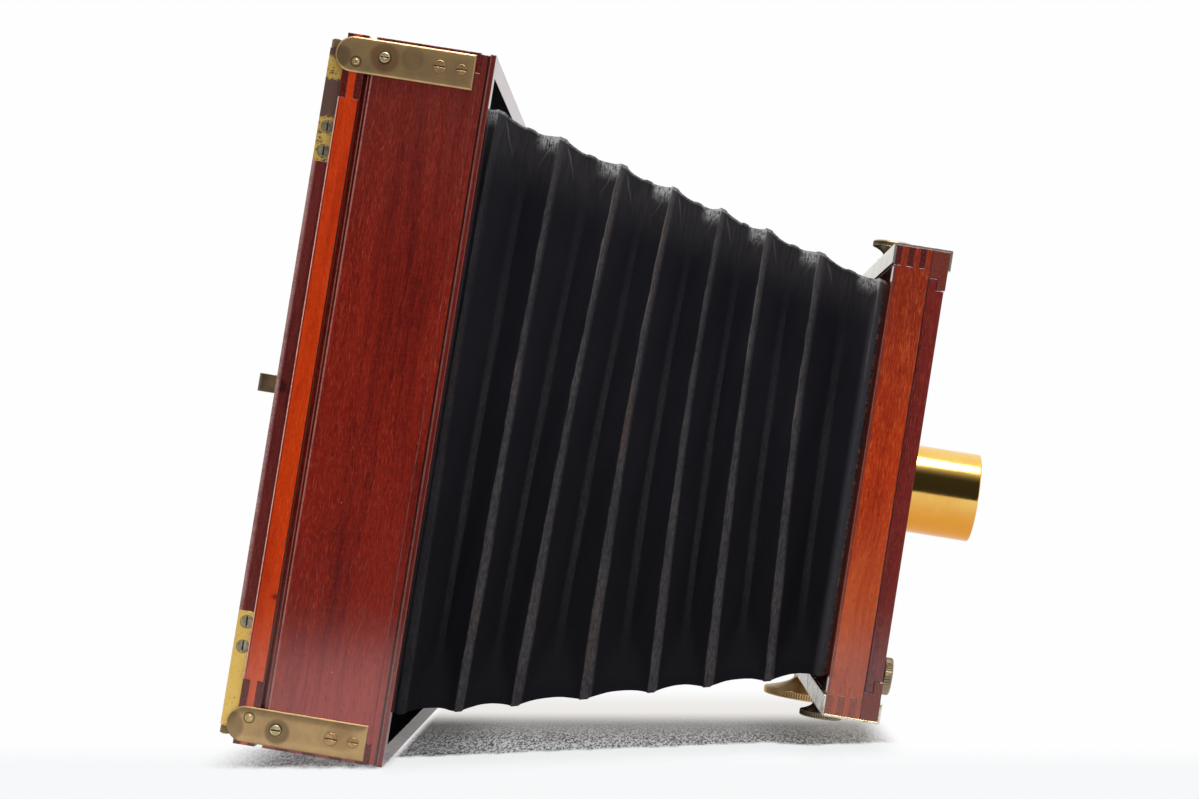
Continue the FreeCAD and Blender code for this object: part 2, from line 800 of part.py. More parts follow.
def pinion_wire(x):
    """The pinion's outline in the plane at x, with a tooth gap straight below the shaft."""
    base_radius = pitch_radius * math.cos(math.radians(pressure_angle))
    tip = pitch_radius + pinion_addendum * gear_module
    root = pitch_radius - dedendum * gear_module
    roll_tip = math.sqrt((tip / base_radius) ** 2 - 1)
    roll_pitch = math.tan(math.radians(pressure_angle))
    at_pitch = roll_pitch - math.atan(roll_pitch)
    half_tooth = (math.pi * gear_module / 2 - backlash) / 2 / pitch_radius
    points = []
    for tooth in range(pinion_teeth):
        centre = -math.pi / 2 + (tooth + 0.5) * 2 * math.pi / pinion_teeth
        flank = []
        for number in range(flank_point_count + 1):
            px, py = involute(base_radius, roll_tip * number / flank_point_count)
            turn = math.atan2(py, px) - at_pitch - half_tooth
            flank.append((math.hypot(px, py), turn))
        rising = [(root, flank[0][1])] + flank
        for radius, turn in rising:
            points.append(polar(x, radius, centre + turn))
        for radius, turn in reversed(rising):
            points.append(polar(x, radius, centre - turn))
    return Part.makePolygon(points + [points[0]])


def polar(x, radius, angle):
    return vector(x, shaft_y + radius * math.cos(angle), shaft_z + radius * math.sin(angle))


def pinion_shaft():
    """The cross shaft with a toothed pinion over each rack and a collar riveted on its left end."""
    side_face = channel_outer + focus_knob_gap
    left_end = side_face + shaft_collar
    right_end = side_face + focus_knob_neck + focus_knob_cone
    along = vector(1, 0, 0)
    shaft = rod(shaft_radius, vector(-right_end, shaft_y, shaft_z), along, right_end + left_end)
    collar = rod(shaft_collar_radius, vector(side_face, shaft_y, shaft_z), along, shaft_collar)
    pieces = [shaft, collar]
    for side in (1, -1):
        x = side * rack_half_spacing - pinion_width / 2
        pieces.append(Part.Face(pinion_wire(x)).extrude(vector(pinion_width, 0, 0)))
    return fused(pieces)


def turned_knob(start, direction, sizes):
    """Neck, cone and milled rim, turned about one axis. sizes: (neck radius, neck, cone, radius, rim)."""
    neck_radius, neck, cone_length, radius, rim = sizes
    body = rod(neck_radius, start, direction, neck)
    flare = cone(neck_radius, radius, start + direction * neck, direction, cone_length)
    rim_start = start + direction * (neck + cone_length)
    disc = rod(radius, rim_start, direction, rim)
    outer = [edge for edge in disc.Edges if edge.Curve.TypeId == "Part::GeomCircle"]
    far = max(outer, key=lambda edge: (edge.CenterOfMass - start).dot(direction))
    disc = disc.makeFillet(rim * 0.3, [far])
    return fused([body, flare, disc])


def focusing_drive():
    """The cross shaft and the milled knob on its right end."""
    shaft = pinion_shaft()
    export("pinion_shaft", [shaft])
    sizes = (focus_knob_neck_radius, focus_knob_neck, focus_knob_cone, focus_knob_radius, focus_knob_rim)
    start = vector(-channel_outer - focus_knob_gap, shaft_y, shaft_z)
    knob = turned_knob(start, vector(-1, 0, 0), sizes)
    export("focus_knob", [knob.cut(shaft)])


# ---------------------------------------------------------------- clamp knobs

def side_clamps():
    """A milled knob with its stud on each side of the standard, over a washer."""
    washers = []
    sizes = (clamp_knob_neck_radius, clamp_knob_neck, clamp_knob_cone, clamp_knob_radius, clamp_knob_rim)
    for name, side in (("left", 1), ("right", -1)):
        out = vector(side, 0, 0)
        web = vector(side * channel_outer, clamp_y, axis_height)
        hole = rod(clamp_stud_radius + running_clearance, web, out, washer_thickness)
        washers.append(rod(washer_radius, web, out, washer_thickness).cut(hole))
        knob_start = web + out * (washer_thickness + seat_clearance)
        knob = turned_knob(knob_start, out, sizes)
        stud_start = vector(side * (front_half - clamp_stud_bite), clamp_y, axis_height)
        stud_length = clamp_stud_bite + channel_wall + washer_thickness + seat_clearance
        stud = rod(clamp_stud_radius, stud_start, out, stud_length)
        export(name + "_clamp_knob", [fused([stud, knob])])
    export("clamp_washers", washers)


def board_clamp():
    """A small knob whose stud passes through the right guide's lip to the lens board's tongue."""
    out = vector(0, -1, 0)
    collar_start = vector(-board_clamp_offset, standard_front - seat_clearance, axis_height)
    stud_start = vector(-board_clamp_offset, board_step - slide_clearance - seat_clearance, axis_height)
    stud_length = stud_start.y - collar_start.y
    stud = rod(board_stud_radius, stud_start, out, stud_length)
    collar = rod(small_knob_collar_radius, collar_start, out, small_knob_collar)
    neck = rod(small_knob_neck_radius, collar_start, out, small_knob_collar + small_knob_neck)
    rim_start = collar_start + out * (small_knob_collar + small_knob_neck)
    disc = rod(small_knob_radius, rim_start, out, small_knob_rim)
    disc = disc.makeFillet(small_knob_rim * 0.25, [edge for edge in disc.Edges
                                                   if edge.Curve.TypeId == "Part::GeomCircle"])
    export("board_clamp_knob", [fused([stud, collar, neck, disc])])


# ---------------------------------------------------------------- lens board and lens

def flange_screws():
    """Small screws round the lens flange."""
    found = []
    for number in range(flange_screw_count):
        angle = math.radians(90 + 360 * number / flange_screw_count)
        x = flange_screw_circle * math.cos(angle)
        z = axis_height + flange_screw_circle * math.sin(angle)
        top = vector(x, board_front - lens_flange_thickness, z)
        slot_along = vector(-math.sin(angle), 0, math.cos(angle))
        found.append(countersunk_screw(flange_screw_radius, flange_screw_radius / 2, top, vector(0, 1, 0),
                                       flange_screw_length, slot_along))
    return found


def lens_board():
    """A board with a tongue along each side, and the flange that the lens screws into."""
    half = board_half_width
    wide = half + board_tongue
    low = sill_top
    screws = flange_screws()
    whole_screws = [whole for whole, slotted in screws]
    tongues = block(-wide, wide, board_step, board_rear, low, front_top)
    face = block(-half, half, board_front, board_step, low, front_top)
    centre = vector(0, board_rear, axis_height)
    forward = vector(0, -1, 0)
    hole = rod(board_hole_radius, centre, forward, board_thickness)
    export("lens_board", [less(fused([tongues, face]), [hole] + whole_screws)])
    face_centre = vector(0, board_front, axis_height)
    disc = rod(lens_flange_radius, face_centre, forward, lens_flange_thickness)
    collar = rod(lens_collar_radius, face_centre, forward, lens_collar)
    bore = rod(barrel_thread_radius, face_centre, forward, lens_collar)
    export("lens_flange", [less(fused([disc, collar]), [bore] + whole_screws)])
    export("flange_screws", [slotted for whole, slotted in screws])


def lens_barrel():
    """A plain brass tube with a stepped bore, two glasses and a retaining ring behind each."""
    forward = vector(0, -1, 0)
    shoulder = board_front - lens_collar
    tube = rod(barrel_radius, vector(0, shoulder, axis_height), forward, shoulder - barrel_front)
    rim = [edge for edge in tube.Edges if edge.CenterOfMass.y < barrel_front + ring_wall
           and edge.Curve.TypeId == "Part::GeomCircle"]
    tube = tube.makeFillet(ring_wall / 3, rim)
    tail_rear = board_rear + barrel_tail
    tail = rod(barrel_thread_radius, vector(0, tail_rear, axis_height), forward, tail_rear - shoulder)
    bore = rod(barrel_bore, vector(0, tail_rear, axis_height), forward, tail_rear - barrel_front)
    tube = fused([tube, tail]).cut(bore)
    front_glass_rear = barrel_front + front_glass_depth + glass_edge
    rear_glass_front = tail_rear - rear_glass_depth - glass_edge
    seats = [stop_ring(front_glass_rear, 1), stop_ring(rear_glass_front, -1)]
    export("lens_barrel", [fused([tube] + seats)])
    export("front_glass", [glass(barrel_front + front_glass_depth)])
    export("rear_glass", [glass(rear_glass_front)])
    rings = [stop_ring(barrel_front + front_glass_depth, -1, ring_thickness)]
    rings.append(stop_ring(rear_glass_front + glass_edge, 1, ring_thickness))
    export("retaining_rings", rings)


def stop_ring(y, facing, thickness=glass_seat):
    """A ring inside the bore that starts at y and runs along facing (+1 back, -1 forward)."""
    start = vector(0, y, axis_height)
    along = vector(0, facing, 0)
    return rod(barrel_bore, start, along, thickness).cut(rod(barrel_bore - ring_wall, start, along, thickness))


def glass(front):
    """A biconvex glass with a cylindrical edge, from front backwards, turned about the optical axis."""
    rear = front + glass_edge
    free = barrel_bore - ring_wall
    arc_radius = (free ** 2 + glass_sag ** 2) / (2 * glass_sag)
    middle = free / 2
    bulge = math.sqrt(arc_radius ** 2 - middle ** 2) - (arc_radius - glass_sag)
    front_arc = Part.Arc(on_section(0, front - glass_sag), on_section(middle, front - bulge),
                         on_section(free, front))
    rear_arc = Part.Arc(on_section(free, rear), on_section(middle, rear + bulge),
                        on_section(0, rear + glass_sag))
    corners = [on_section(free, front), on_section(barrel_bore, front), on_section(barrel_bore, rear),
               on_section(free, rear)]
    axis_line = Part.makeLine(on_section(0, rear + glass_sag), on_section(0, front - glass_sag))
    edges = [front_arc.toShape()] + Part.makePolygon(corners).Edges + [rear_arc.toShape(), axis_line]
    section = Part.Face(Part.Wire(edges))
    return section.revolve(on_section(0, 0), vector(0, 1, 0), 360)


def on_section(radius, y):
    return vector(radius, y, axis_height)


# ---------------------------------------------------------------- build

def build():
    os.makedirs("parts", exist_ok=True)
    base_cutters = baseboard_pieces()
    racks()
    rear_body(base_cutters)
    reversing_back()
    spring_plates()
    focusing_screen()
    pivot_arms()
    bellows()
    front_box()
    uprights()
    lens_board_guides()
    foot_and_carriage()
    focusing_drive()
    side_clamps()
    board_clamp()
    lens_board()
    lens_barrel()


build()
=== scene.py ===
# %% [markdown]
# # A plate camera of mahogany, brass and leathercloth
# The real object is an old field camera that lies on its side on a pale table.
# Boards, brass and glass come as exact solids from the CAD frame. This file dresses them:
# each visible surface gets a finish that varies as the real one does, and the pieces
# that a plain solid can't show well (bellows, springs, milled knobs) are made anew.
# The frame's Z is up when the camera stands on its base, and the lens looks along -Y.

# %% Load the frame
import math
import bmesh
import bpy
import numpy as np
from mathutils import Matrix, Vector


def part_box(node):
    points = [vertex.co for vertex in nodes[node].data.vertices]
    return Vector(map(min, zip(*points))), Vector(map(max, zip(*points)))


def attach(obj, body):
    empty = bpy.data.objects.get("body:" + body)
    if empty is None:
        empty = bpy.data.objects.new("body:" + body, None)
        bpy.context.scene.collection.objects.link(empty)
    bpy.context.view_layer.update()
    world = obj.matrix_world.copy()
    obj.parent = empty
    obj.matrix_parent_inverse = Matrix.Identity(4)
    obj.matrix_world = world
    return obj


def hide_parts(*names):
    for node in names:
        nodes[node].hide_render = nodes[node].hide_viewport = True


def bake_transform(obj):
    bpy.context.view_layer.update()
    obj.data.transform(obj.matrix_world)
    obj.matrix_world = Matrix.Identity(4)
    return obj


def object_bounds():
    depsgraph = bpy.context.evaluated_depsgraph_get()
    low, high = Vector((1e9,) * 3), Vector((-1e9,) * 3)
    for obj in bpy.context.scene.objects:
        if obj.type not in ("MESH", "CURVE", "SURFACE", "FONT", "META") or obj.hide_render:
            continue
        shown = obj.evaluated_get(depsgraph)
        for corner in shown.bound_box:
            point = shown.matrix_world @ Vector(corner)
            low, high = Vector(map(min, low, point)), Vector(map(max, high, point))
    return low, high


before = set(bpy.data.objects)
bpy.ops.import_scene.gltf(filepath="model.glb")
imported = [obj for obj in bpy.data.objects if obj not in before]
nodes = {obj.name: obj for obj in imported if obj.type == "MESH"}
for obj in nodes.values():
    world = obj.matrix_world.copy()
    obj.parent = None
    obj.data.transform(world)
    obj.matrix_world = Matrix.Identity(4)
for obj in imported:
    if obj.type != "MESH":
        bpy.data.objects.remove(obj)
cad_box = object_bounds()
mm = 0.001
print("frame:", len(nodes), "nodes, size in mm", [round(v / mm, 1) for v in cad_box[1] - cad_box[0]])

# %% [markdown]
# ## Shader sums written as sums
# A finish is a graph of nodes. Placing each Math node by hand hides the idea behind it,
# so a small class wraps a socket and turns +, - and * into Math nodes.

# %% Numbers on sockets
class Signal:
    """A socket that carries a number. Arithmetic on it adds Math nodes."""

    def __init__(self, wiring, socket):
        self.wiring, self.socket = wiring, socket

    def calc(self, operation, *values):
        made = self.wiring.node("Math", {"operation": operation}, dict(enumerate(values)))
        return Signal(self.wiring, made.outputs[0])

    def __add__(self, other):
        return self.calc("ADD", self, other)

    def __sub__(self, other):
        return self.calc("SUBTRACT", self, other)

    def __rsub__(self, other):
        return self.calc("SUBTRACT", other, self)

    def __mul__(self, other):
        return self.calc("MULTIPLY", self, other)

    def __abs__(self):
        return self.calc("ABSOLUTE", self)

    def __pow__(self, other):
        return self.calc("POWER", self, other)

    __radd__, __rmul__ = __add__, __mul__

    def least(self, other):
        return self.calc("MINIMUM", self, other)

    def most(self, other):
        return self.calc("MAXIMUM", self, other)

    def step(self, low, high, start=0.0, end=1.0):
        """start below low, end above high, and a smooth rise between them."""
        made = self.wiring.node("MapRange", {"interpolation_type": "SMOOTHSTEP"}, {
            "Value": self, "From Min": low, "From Max": high, "To Min": start, "To Max": end})
        return Signal(self.wiring, made.outputs["Result"])

    def fall(self, low, high):
        """1 below low, 0 above high."""
        return self.step(low, high, 1.0, 0.0)


# %% [markdown]
# A second class holds one node tree and is the only place where nodes are made. A third adds
# what every finish needs: the Principled shader, and the spot on the piece in millimetres.

# %% One node tree
class Wiring:
    """A node tree under construction: every node comes from node()."""

    def __init__(self, tree):
        self.tree = tree
        tree.nodes.clear()

    def node(self, kind, settings=None, values=None):
        made = self.tree.nodes.new("ShaderNode" + kind)
        for name, setting in (settings or {}).items():
            setattr(made, name, setting)
        for name, value in (values or {}).items():
            self.feed(made.inputs[name], value)
        return made

    def feed(self, socket, value):
        source = getattr(value, "socket", value)
        if isinstance(source, bpy.types.NodeSocket):
            self.tree.links.new(source, socket)
        elif isinstance(source, (tuple, list)) and len(source) != len(socket.default_value):
            socket.default_value = (*source, 1.0)
        else:
            socket.default_value = source

    def number(self, node, output=0):
        return Signal(self, node.outputs[output])

    def move(self, operation, vector, other):
        """Vector Math on a vector and a triple or vector."""
        return self.node("VectorMath", {"operation": operation}, {0: vector, 1: other}).outputs[0]

    def axes(self, vector):
        """The three parts of a vector, as signals."""
        split = self.node("SeparateXYZ", None, {0: vector})
        return [self.number(split, n) for n in range(3)]

    def join(self, x, y, z):
        return self.node("CombineXYZ", None, {0: x, 1: y, 2: z}).outputs[0]

    def noise(self, vector, scale=1.0, detail=3.0, roughness=0.55):
        made = self.node("TexNoise", None, {
            "Vector": vector, "Scale": scale, "Detail": detail, "Roughness": roughness})
        return self.number(made)

    def paint(self, share, under, over):
        """Two colours mixed: under at 0, over at 1."""
        return self.node("Mix", {"data_type": "RGBA"}, {0: share, 6: under, 7: over}).outputs[2]

    def coats(self, colour, *layers):
        """Layers painted over a colour one after the other, each given as (share, colour)."""
        for share, over in layers:
            colour = self.paint(share, colour, over)
        return colour


# %% One finish
arris_gain = 3.4


class Finish(Wiring):
    """A material with one Principled shader, whose constants are set on its own sockets."""

    def __init__(self, name, **constants):
        self.material = bpy.data.materials.new(name)
        self.material.use_nodes = True
        super().__init__(self.material.node_tree)
        out = self.node("OutputMaterial")
        self.shader = self.node("BsdfPrincipled", None, {
            key.replace("_", " ").title().replace("Ior", "IOR"): value for key, value in constants.items()})
        self.feed(out.inputs["Surface"], self.shader.outputs[0])
        self.spot = self.move("MULTIPLY", self.node("TexCoord").outputs["Object"], (1 / mm,) * 3)

    def show(self, **sockets):
        for key, value in sockets.items():
            self.feed(self.shader.inputs[key.replace("_", " ").title()], value)
        return self.material

    def streaks(self, squeeze, scale=1.0, detail=3.0, roughness=0.55):
        """Noise squeezed by a share along each axis: a small share draws it out into streaks that way."""
        return self.noise(self.move("MULTIPLY", self.spot, squeeze), scale, detail, roughness)

    def arris(self, radius):
        """0 on a flat, rising to 1 on a square edge, and the rounded normal that a hand-eased edge has.
        The first is 1 less the cosine between the rounded and the flat normal, times a gain."""
        eased = self.node("Bevel", {"samples": 4}, {"Radius": radius * mm}).outputs[0]
        flat = self.node("NewGeometry").outputs["Normal"]
        along = self.number(self.node("VectorMath", {"operation": "DOT_PRODUCT"}, {0: eased, 1: flat}), 1)
        return (1 - along) * arris_gain, eased

    def relief(self, height, depth, normal=None):
        values = {"Height": height, "Distance": depth * mm, "Strength": 1.0}
        if normal is not None:
            values["Normal"] = normal
        return self.node("Bump", None, values).outputs[0]


# %% Colours
def tone(red, green, blue):
    """A colour named in the usual 0 to 255 steps, as the linear values that shaders use."""
    steps = np.array([red, green, blue]) / 255
    return tuple(float(v) for v in np.where(steps > 0.04045, ((steps + 0.055) / 1.055) ** 2.4, steps / 12.92))


def shaded(colour, share, lift=0.0):
    """A colour made darker or lighter by a share, and lifted by the same amount in all three parts."""
    return tuple(v * share + lift for v in colour)


print("a tone of 128 is", round(tone(128, 128, 128)[0], 3), "in linear light")


# %% [markdown]
# ## Surfaces from numpy
# A new piece is a grid of points, worked out as one array from two parameters. The grid
# closes on itself in one or both directions, and points that meet at a pole or a seam are
# merged, so that each piece is a closed skin.

# %% Grid to mesh
weld = 0.001 * mm


def skin(name, points, wrap_rows, crease, layers=None):
    """A mesh over a grid of points (rows, columns, 3) in metres. Columns always close; rows close if asked.
    Edges sharper than crease, in degrees, stay sharp. layers are values for the points, as {name: grid}."""
    rows, columns = points.shape[:2]
    index = np.arange(rows * columns).reshape(rows, columns)
    upper = np.roll(index, -1, 0) if wrap_rows else index[1:]
    lower = index if wrap_rows else index[:-1]
    quads = np.stack([lower, np.roll(lower, -1, 1), np.roll(upper, -1, 1), upper], -1).reshape(-1, 4)
    mesh = bpy.data.meshes.new(name)
    mesh.vertices.add(rows * columns)
    mesh.vertices.foreach_set("co", points.astype(np.float32).ravel())
    mesh.loops.add(quads.size)
    mesh.loops.foreach_set("vertex_index", quads.astype(np.int32).ravel())
    mesh.polygons.add(len(quads))
    mesh.polygons.foreach_set("loop_start", np.arange(len(quads), dtype=np.int32) * 4)
    mesh.update(calc_edges=True)
    for layer, values in (layers or {}).items():
        mesh.attributes.new(layer, "FLOAT", "POINT").data.foreach_set("value", values.astype(np.float32).ravel())
    whole = bmesh.new()
    whole.from_mesh(mesh)
    bmesh.ops.remove_doubles(whole, verts=whole.verts, dist=weld)
    bmesh.ops.recalc_face_normals(whole, faces=whole.faces)
    whole.to_mesh(mesh)
    whole.free()
    mesh.polygons.foreach_set("use_smooth", np.ones(len(mesh.polygons), bool))
    mesh.set_sharp_from_angle(angle=math.radians(crease))
    piece = bpy.data.objects.new(name, mesh)
    bpy.context.scene.collection.objects.link(piece)
    print(name, "faces", len(mesh.polygons))
    return piece


def dress(piece, material):
    """Puts one finish on a piece or on a CAD node's own slots."""
    if not piece.data.materials:
        piece.data.materials.append(material)
    for number in range(len(piece.data.materials)):
        piece.data.materials[number] = material


# %% [markdown]
# ## Bellows
# Real bellows are leathercloth glued over card stiffeners. Each pleat has a soft outward
# ridge and an inward valley, and near the corners the valley can't go as deep, so the cloth
# breaks into small slanting facets. A smooth cone with a bump map would lose that outline.
# Here the pleat depth is a formula of the place along the bellows and round its square ring.

# %% Bellows sizes
bellows_low, bellows_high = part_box("bellows")
bellows_rear, bellows_front = bellows_high.y / mm, bellows_low.y / mm
bellows_axis = (bellows_low.z + bellows_high.z) / 2 / mm
ridge_half_at_rear = bellows_high.x / mm
rear_setback, front_setback = 13.0, 7.0
pleat_pitch, pleat_depth, pleat_taper = 25.0, 9.0, 0.2423
ridge_band, valley_band = 1.5, 1.0
corner_depth, corner_rise, corner_round = 1.7, 0.265, 1.0
cloth = 1.3
ridges = np.arange(bellows_front + front_setback, bellows_rear, pleat_pitch)
print("ridges at", ridges)

# %% [markdown]
# Old pleats no longer run straight. Each ridge has sagged a few millimetres forward or back,
# by different amounts at its high end, its middle and its low end. Three short rows of
# listed shifts, one number per ridge, and a smooth blend between them give that sway.

# %% Sway of the ridges
sway_high = np.array([0, 3.4, 2.9, -1.3, -4.3, -6.2, -4.0, -2.0, 0])
sway_middle = np.array([0, 2.4, 2.0, 0, 0, 0, -0.7, 0, 0])
sway_low = np.array([0, -2.4, -1.4, -3.2, 0, 3.6, 1.4, 0, 0])


def sway(y, height):
    """Shift along Y at nominal place y, with height from -1 (low end) to 1 (high end) across the square:
    a parabola through the three rows at that y."""
    high, middle, low = (np.interp(y, ridges, row) for row in (sway_high, sway_middle, sway_low))
    return middle + (high - low) / 2 * height + ((high + low) / 2 - middle) * height ** 2


print("a ridge leans by up to", round(float(np.abs(sway_high - sway_low).max()), 1), "mm")

# %% [markdown]
# The ring below is the whole shape. The smaller of two depths, one for a plain pleat and one for
# a corner, makes the slanting facets by itself, and a soft minimum rounds the crease between
# them. Small sines add the ripples that card and cloth take on with age.

# %% Bellows shape
end_fade = 9.0
crease_ease = 0.4
ripple_along, ripple_in = 0.5, 0.35
pinch, pinch_start, pinch_run = 2.4, 60.0, 40.0
nib_height, nib_width = 0.5, 0.08


def bellows_ring(y, turn, inset):
    """Points of the square ring at nominal place y, with turn from 0 to 4 round its sides, inset in from the skin.
    fold rises from 0 on a ridge's flat band to 1 in a valley's. Depth is the smaller of pleat_depth x fold
    and corner_depth x a quarter sine of fold + corner_rise x distance from the corner, eased where they meet.
    Each side's half width grows with the sway-shifted place along Y, less a pinch at the low end near the rear.
    A nib is a small peak of cloth left standing in each valley at the high corners."""
    pleat = (y - ridges[0] + pleat_pitch / 2) % pleat_pitch - pleat_pitch / 2
    pleat = np.where(y < ridges[0], y - ridges[0], np.where(y > ridges[-1], y - ridges[-1], pleat))
    off_ridge = np.abs(pleat)
    fold = np.clip((off_ridge - ridge_band) / (pleat_pitch / 2 - ridge_band - valley_band), 0, 1)
    side = np.floor(turn).astype(int) % 4
    across = (turn - np.floor(turn)) * 2 - 1
    height = np.choose(side, [across, 1 + across * 0, -across, -1 + across * 0])
    ends = np.clip(np.minimum(bellows_rear - y, y - bellows_front) / end_fade, 0, 1)
    moved = y + ends * (sway(y, height) + ripple_along * np.sin(height * 9 + y * 0.4) * np.sin(math.pi * fold))
    half = ridge_half_at_rear + pleat_taper * (moved - (bellows_rear - rear_setback))
    half = half - pinch * np.clip(-height, 0, 1) ** 4 * np.clip((y - pinch_start) / pinch_run, 0, 1)
    reach = (1 - np.abs(across)) * half
    scallop = corner_depth * np.sin(math.pi / 2 * fold)
    plain = pleat_depth * fold
    facet = scallop + corner_rise * reach
    depth = -crease_ease * np.log(np.exp(-plain / crease_ease) + np.exp(-facet / crease_ease))
    depth = np.maximum(depth + crease_ease * math.log(2) * np.exp(-reach / 6), 0)
    depth += ripple_in * ends * (0.5 + 0.5 * np.sin(across * 7 + y * 0.31)) * np.sin(math.pi * fold)
    nib = nib_height * np.exp(-((fold - 1) / nib_width) ** 2) * (height > 0.9) * ends
    eased = corner_round * np.exp(-(reach / 3.0) ** 2)
    corner = scallop + corner_round - nib
    depth = depth - nib * np.exp(-(reach / 2.0) ** 2)
    along = across * (half - corner - inset)
    out = half - depth - eased - inset
    x = np.choose(side, [along, out, -along, -out])
    z = np.choose(side, [out, -along, -out, along])
    points = np.stack([x, moved, z + bellows_axis], -1) * mm
    return points, {"pleat": pleat, "corner": reach, "crease": facet - plain, "height": height}


# %% Bellows mesh
half_pleat = np.array([0.05, 0.11, 0.18, 0.3, 0.46, 0.62, 0.8, 0.9, 0.998])
side_columns, corner_crowding = 46, 0.55
no_wear = 99.0


def make_bellows():
    """The outer skin from rear to front, then the inner skin back again, closed both ways.
    Rows lie closer together beside each ridge's flat band and each valley, columns near the corners.
    The inner skin's layers hold a great distance, so that no wear shows on it."""
    steps = np.concatenate([-half_pleat[::-1], half_pleat])
    steps[0] = -1
    rows = (ridges[:, None] + steps * pleat_pitch / 2).ravel()
    rows = rows[(rows > bellows_front + 0.2) & (rows < bellows_rear - 0.2)]
    rows = np.concatenate([[bellows_front], rows, [bellows_rear]])[::-1]
    spread = np.linspace(-1, 1, side_columns + 1)[:-1]
    share = (spread + corner_crowding * np.sin(math.pi * spread) / math.pi + 1) / 2
    turn = (np.arange(4)[:, None] + share).ravel()
    y, turn = np.meshgrid(rows, turn, indexing="ij")
    outer, layers = bellows_ring(y, turn, 0.0)
    inner, _ = bellows_ring(y[::-1], turn[::-1], cloth)
    layers = {name: np.concatenate([values, np.full_like(values, no_wear)]) for name, values in layers.items()}
    return skin("bellows_cloth", np.concatenate([outer, inner]), True, 32.0, layers)


bellows_cloth = make_bellows()

# %% [markdown]
# ## Leathercloth finish
# Matt black cloth is never black all over. Each ridge band is rubbed to a soft grey and carries a
# painted sheen, sharper on its rear side, each valley holds a faint line of dust, and the high
# corners are dusty and creased, under a haze of dust and painted light. The low side is painted
# darker as shade. Attributes on the mesh tell how far each point is from a ridge, a corner and a
# crease, so the wear and the painted light follow the folds and bend with them.

# %% Signals on the folds
upper_edge = (200, 280)


def fold_signals(f):
    """Gives a finish what the mesh knows: mm from the nearest ridge (plus is rearward), corner and crease, and
    the height across the square from -1 to 1. Adds its noises, and top, which is 1 along the high edge."""
    f.pleat, f.corner, f.crease, f.high = (f.number(f.node("Attribute", {"attribute_name": name}), 2)
                                           for name in ("pleat", "corner", "crease", "height"))
    _, f.y, f.z = f.axes(f.spot)
    f.streak = f.streaks((0.09, 1.0, 0.09))
    f.grain = f.streaks((0.35, 1.0, 0.35), 1.1, 4.0, 0.7)
    f.patch = f.noise(f.spot, 0.03, 2.0)
    f.speck = f.noise(f.spot, 0.55, 5.0, 0.75)
    f.wander = (f.streak - 0.5) * 1.4
    # low is 1 on the cloth's low side, by the table, which the finish paints darker as shade.
    f.low = f.high.fall(-0.7, 0.5)
    f.top = f.high.step(0.86, 0.97) * f.z.step(*upper_edge)


# %% Cloth, its dust, and painted light and shade
def cloth_dust_and_painted_light(f):
    """Blue-black cloth with painted shade at its low side, under a haze of dust and painted light near the high
    corners, and a line of dust in each valley, half a pitch from its ridge."""
    black = f.paint(f.patch, tone(19, 18, 24), tone(28, 27, 33))
    valley = abs(abs(f.pleat + f.wander * 0.5) - (pleat_pitch / 2 - 0.3)).fall(0.6, 1.8)
    dust_line = valley * f.corner.step(10, 34) * f.high.step(-1.0, -0.3) * (f.high.fall(0.1, 0.7) * 0.65 + 0.35)
    # Haze near the high corners: dust and painted light.
    haze = f.high.step(0.7, 0.95) * f.z.step(*upper_edge) * f.corner.fall(6, 44)
    dust = haze * (0.45 + 0.4 * f.streak.step(0.35, 0.6)) + dust_line * (0.15 + 0.5 * f.grain.step(0.3, 0.7))
    # The low side is painted darker as shade; the haze is dust and painted light.
    return f.coats(black, (f.low * 0.7, tone(15, 15, 19)), (dust.least(1), tone(52, 50, 52)))


# %% [markdown]
# Folding and handling rub the ridges, and each band also carries a painted sheen. Each band is
# wider at its high end and fades near the body, where nothing touches it. A pale line of wear and
# painted highlight runs along its rear side, and fine lines mark the creases near the corners,
# where dust lies on the rear side of each ridge.

# %% Rubbed ridges with a painted sheen, and dusty corners
def worn_and_sheened_ridges(f):
    """Layers for the ridge bands of wear and painted sheen, the pale line of wear and painted highlight behind
    each, the creases and a little lint.
    """
    near_body = f.y.fall(56, 96) * 0.88 + 0.12
    behind, before = f.pleat + f.wander, f.wander * 0.6 - f.pleat
    band = behind.fall(1.2, 1.8) * before.fall(f.low * 2.8 - 0.9, 1.9 + f.low * 1.1)
    # Each ridge band's share: wear and a painted sheen.
    soft = band * near_body * (0.4 + 0.65 * f.grain.step(0.34, 0.66)) * (0.7 + 0.3 * f.patch.step(0.35, 0.65))
    rubbed = f.paint(f.patch.step(0.58, 0.7), tone(72, 69, 71), tone(76, 66, 63))
    # A pale line of wear and painted highlight along each ridge's rear side.
    line = abs(behind - 1.45).fall(0.1, 0.4) * f.high.step(-0.1, 0.5) * near_body * f.patch.step(0.4, 0.6)
    fold_line = abs(f.crease).fall(0.05, 0.32) * f.corner.step(1, 5) * f.corner.fall(22, 31) * f.top
    lint = f.noise(f.spot, 1.3, 1.0).step(0.83, 0.85)
    pale = line * 0.5 + fold_line * 0.42 + lint * 0.6
    return (soft.least(1), rubbed), (pale.least(1), tone(112, 108, 106))


def dusty_corners(f):
    """A layer of pale dust near the high corners, broken up by wisps, and along the very edge."""
    wisp = f.streaks((0.5, 1.9, 0.5), 1.0, 3.0, 0.7)
    rear_side = f.pleat.step(0.6, 2.0) * f.pleat.fall(7, 11)
    dusty = f.top * f.corner.fall(0, 9) * rear_side * (wisp * 0.6 + f.speck * 0.4).step(0.38, 0.6)
    rim = f.top * f.corner.fall(0.3, 1.6) * f.speck.step(0.3, 0.6)
    return ((dusty + rim * 0.5).least(0.9), tone(184, 186, 186)),


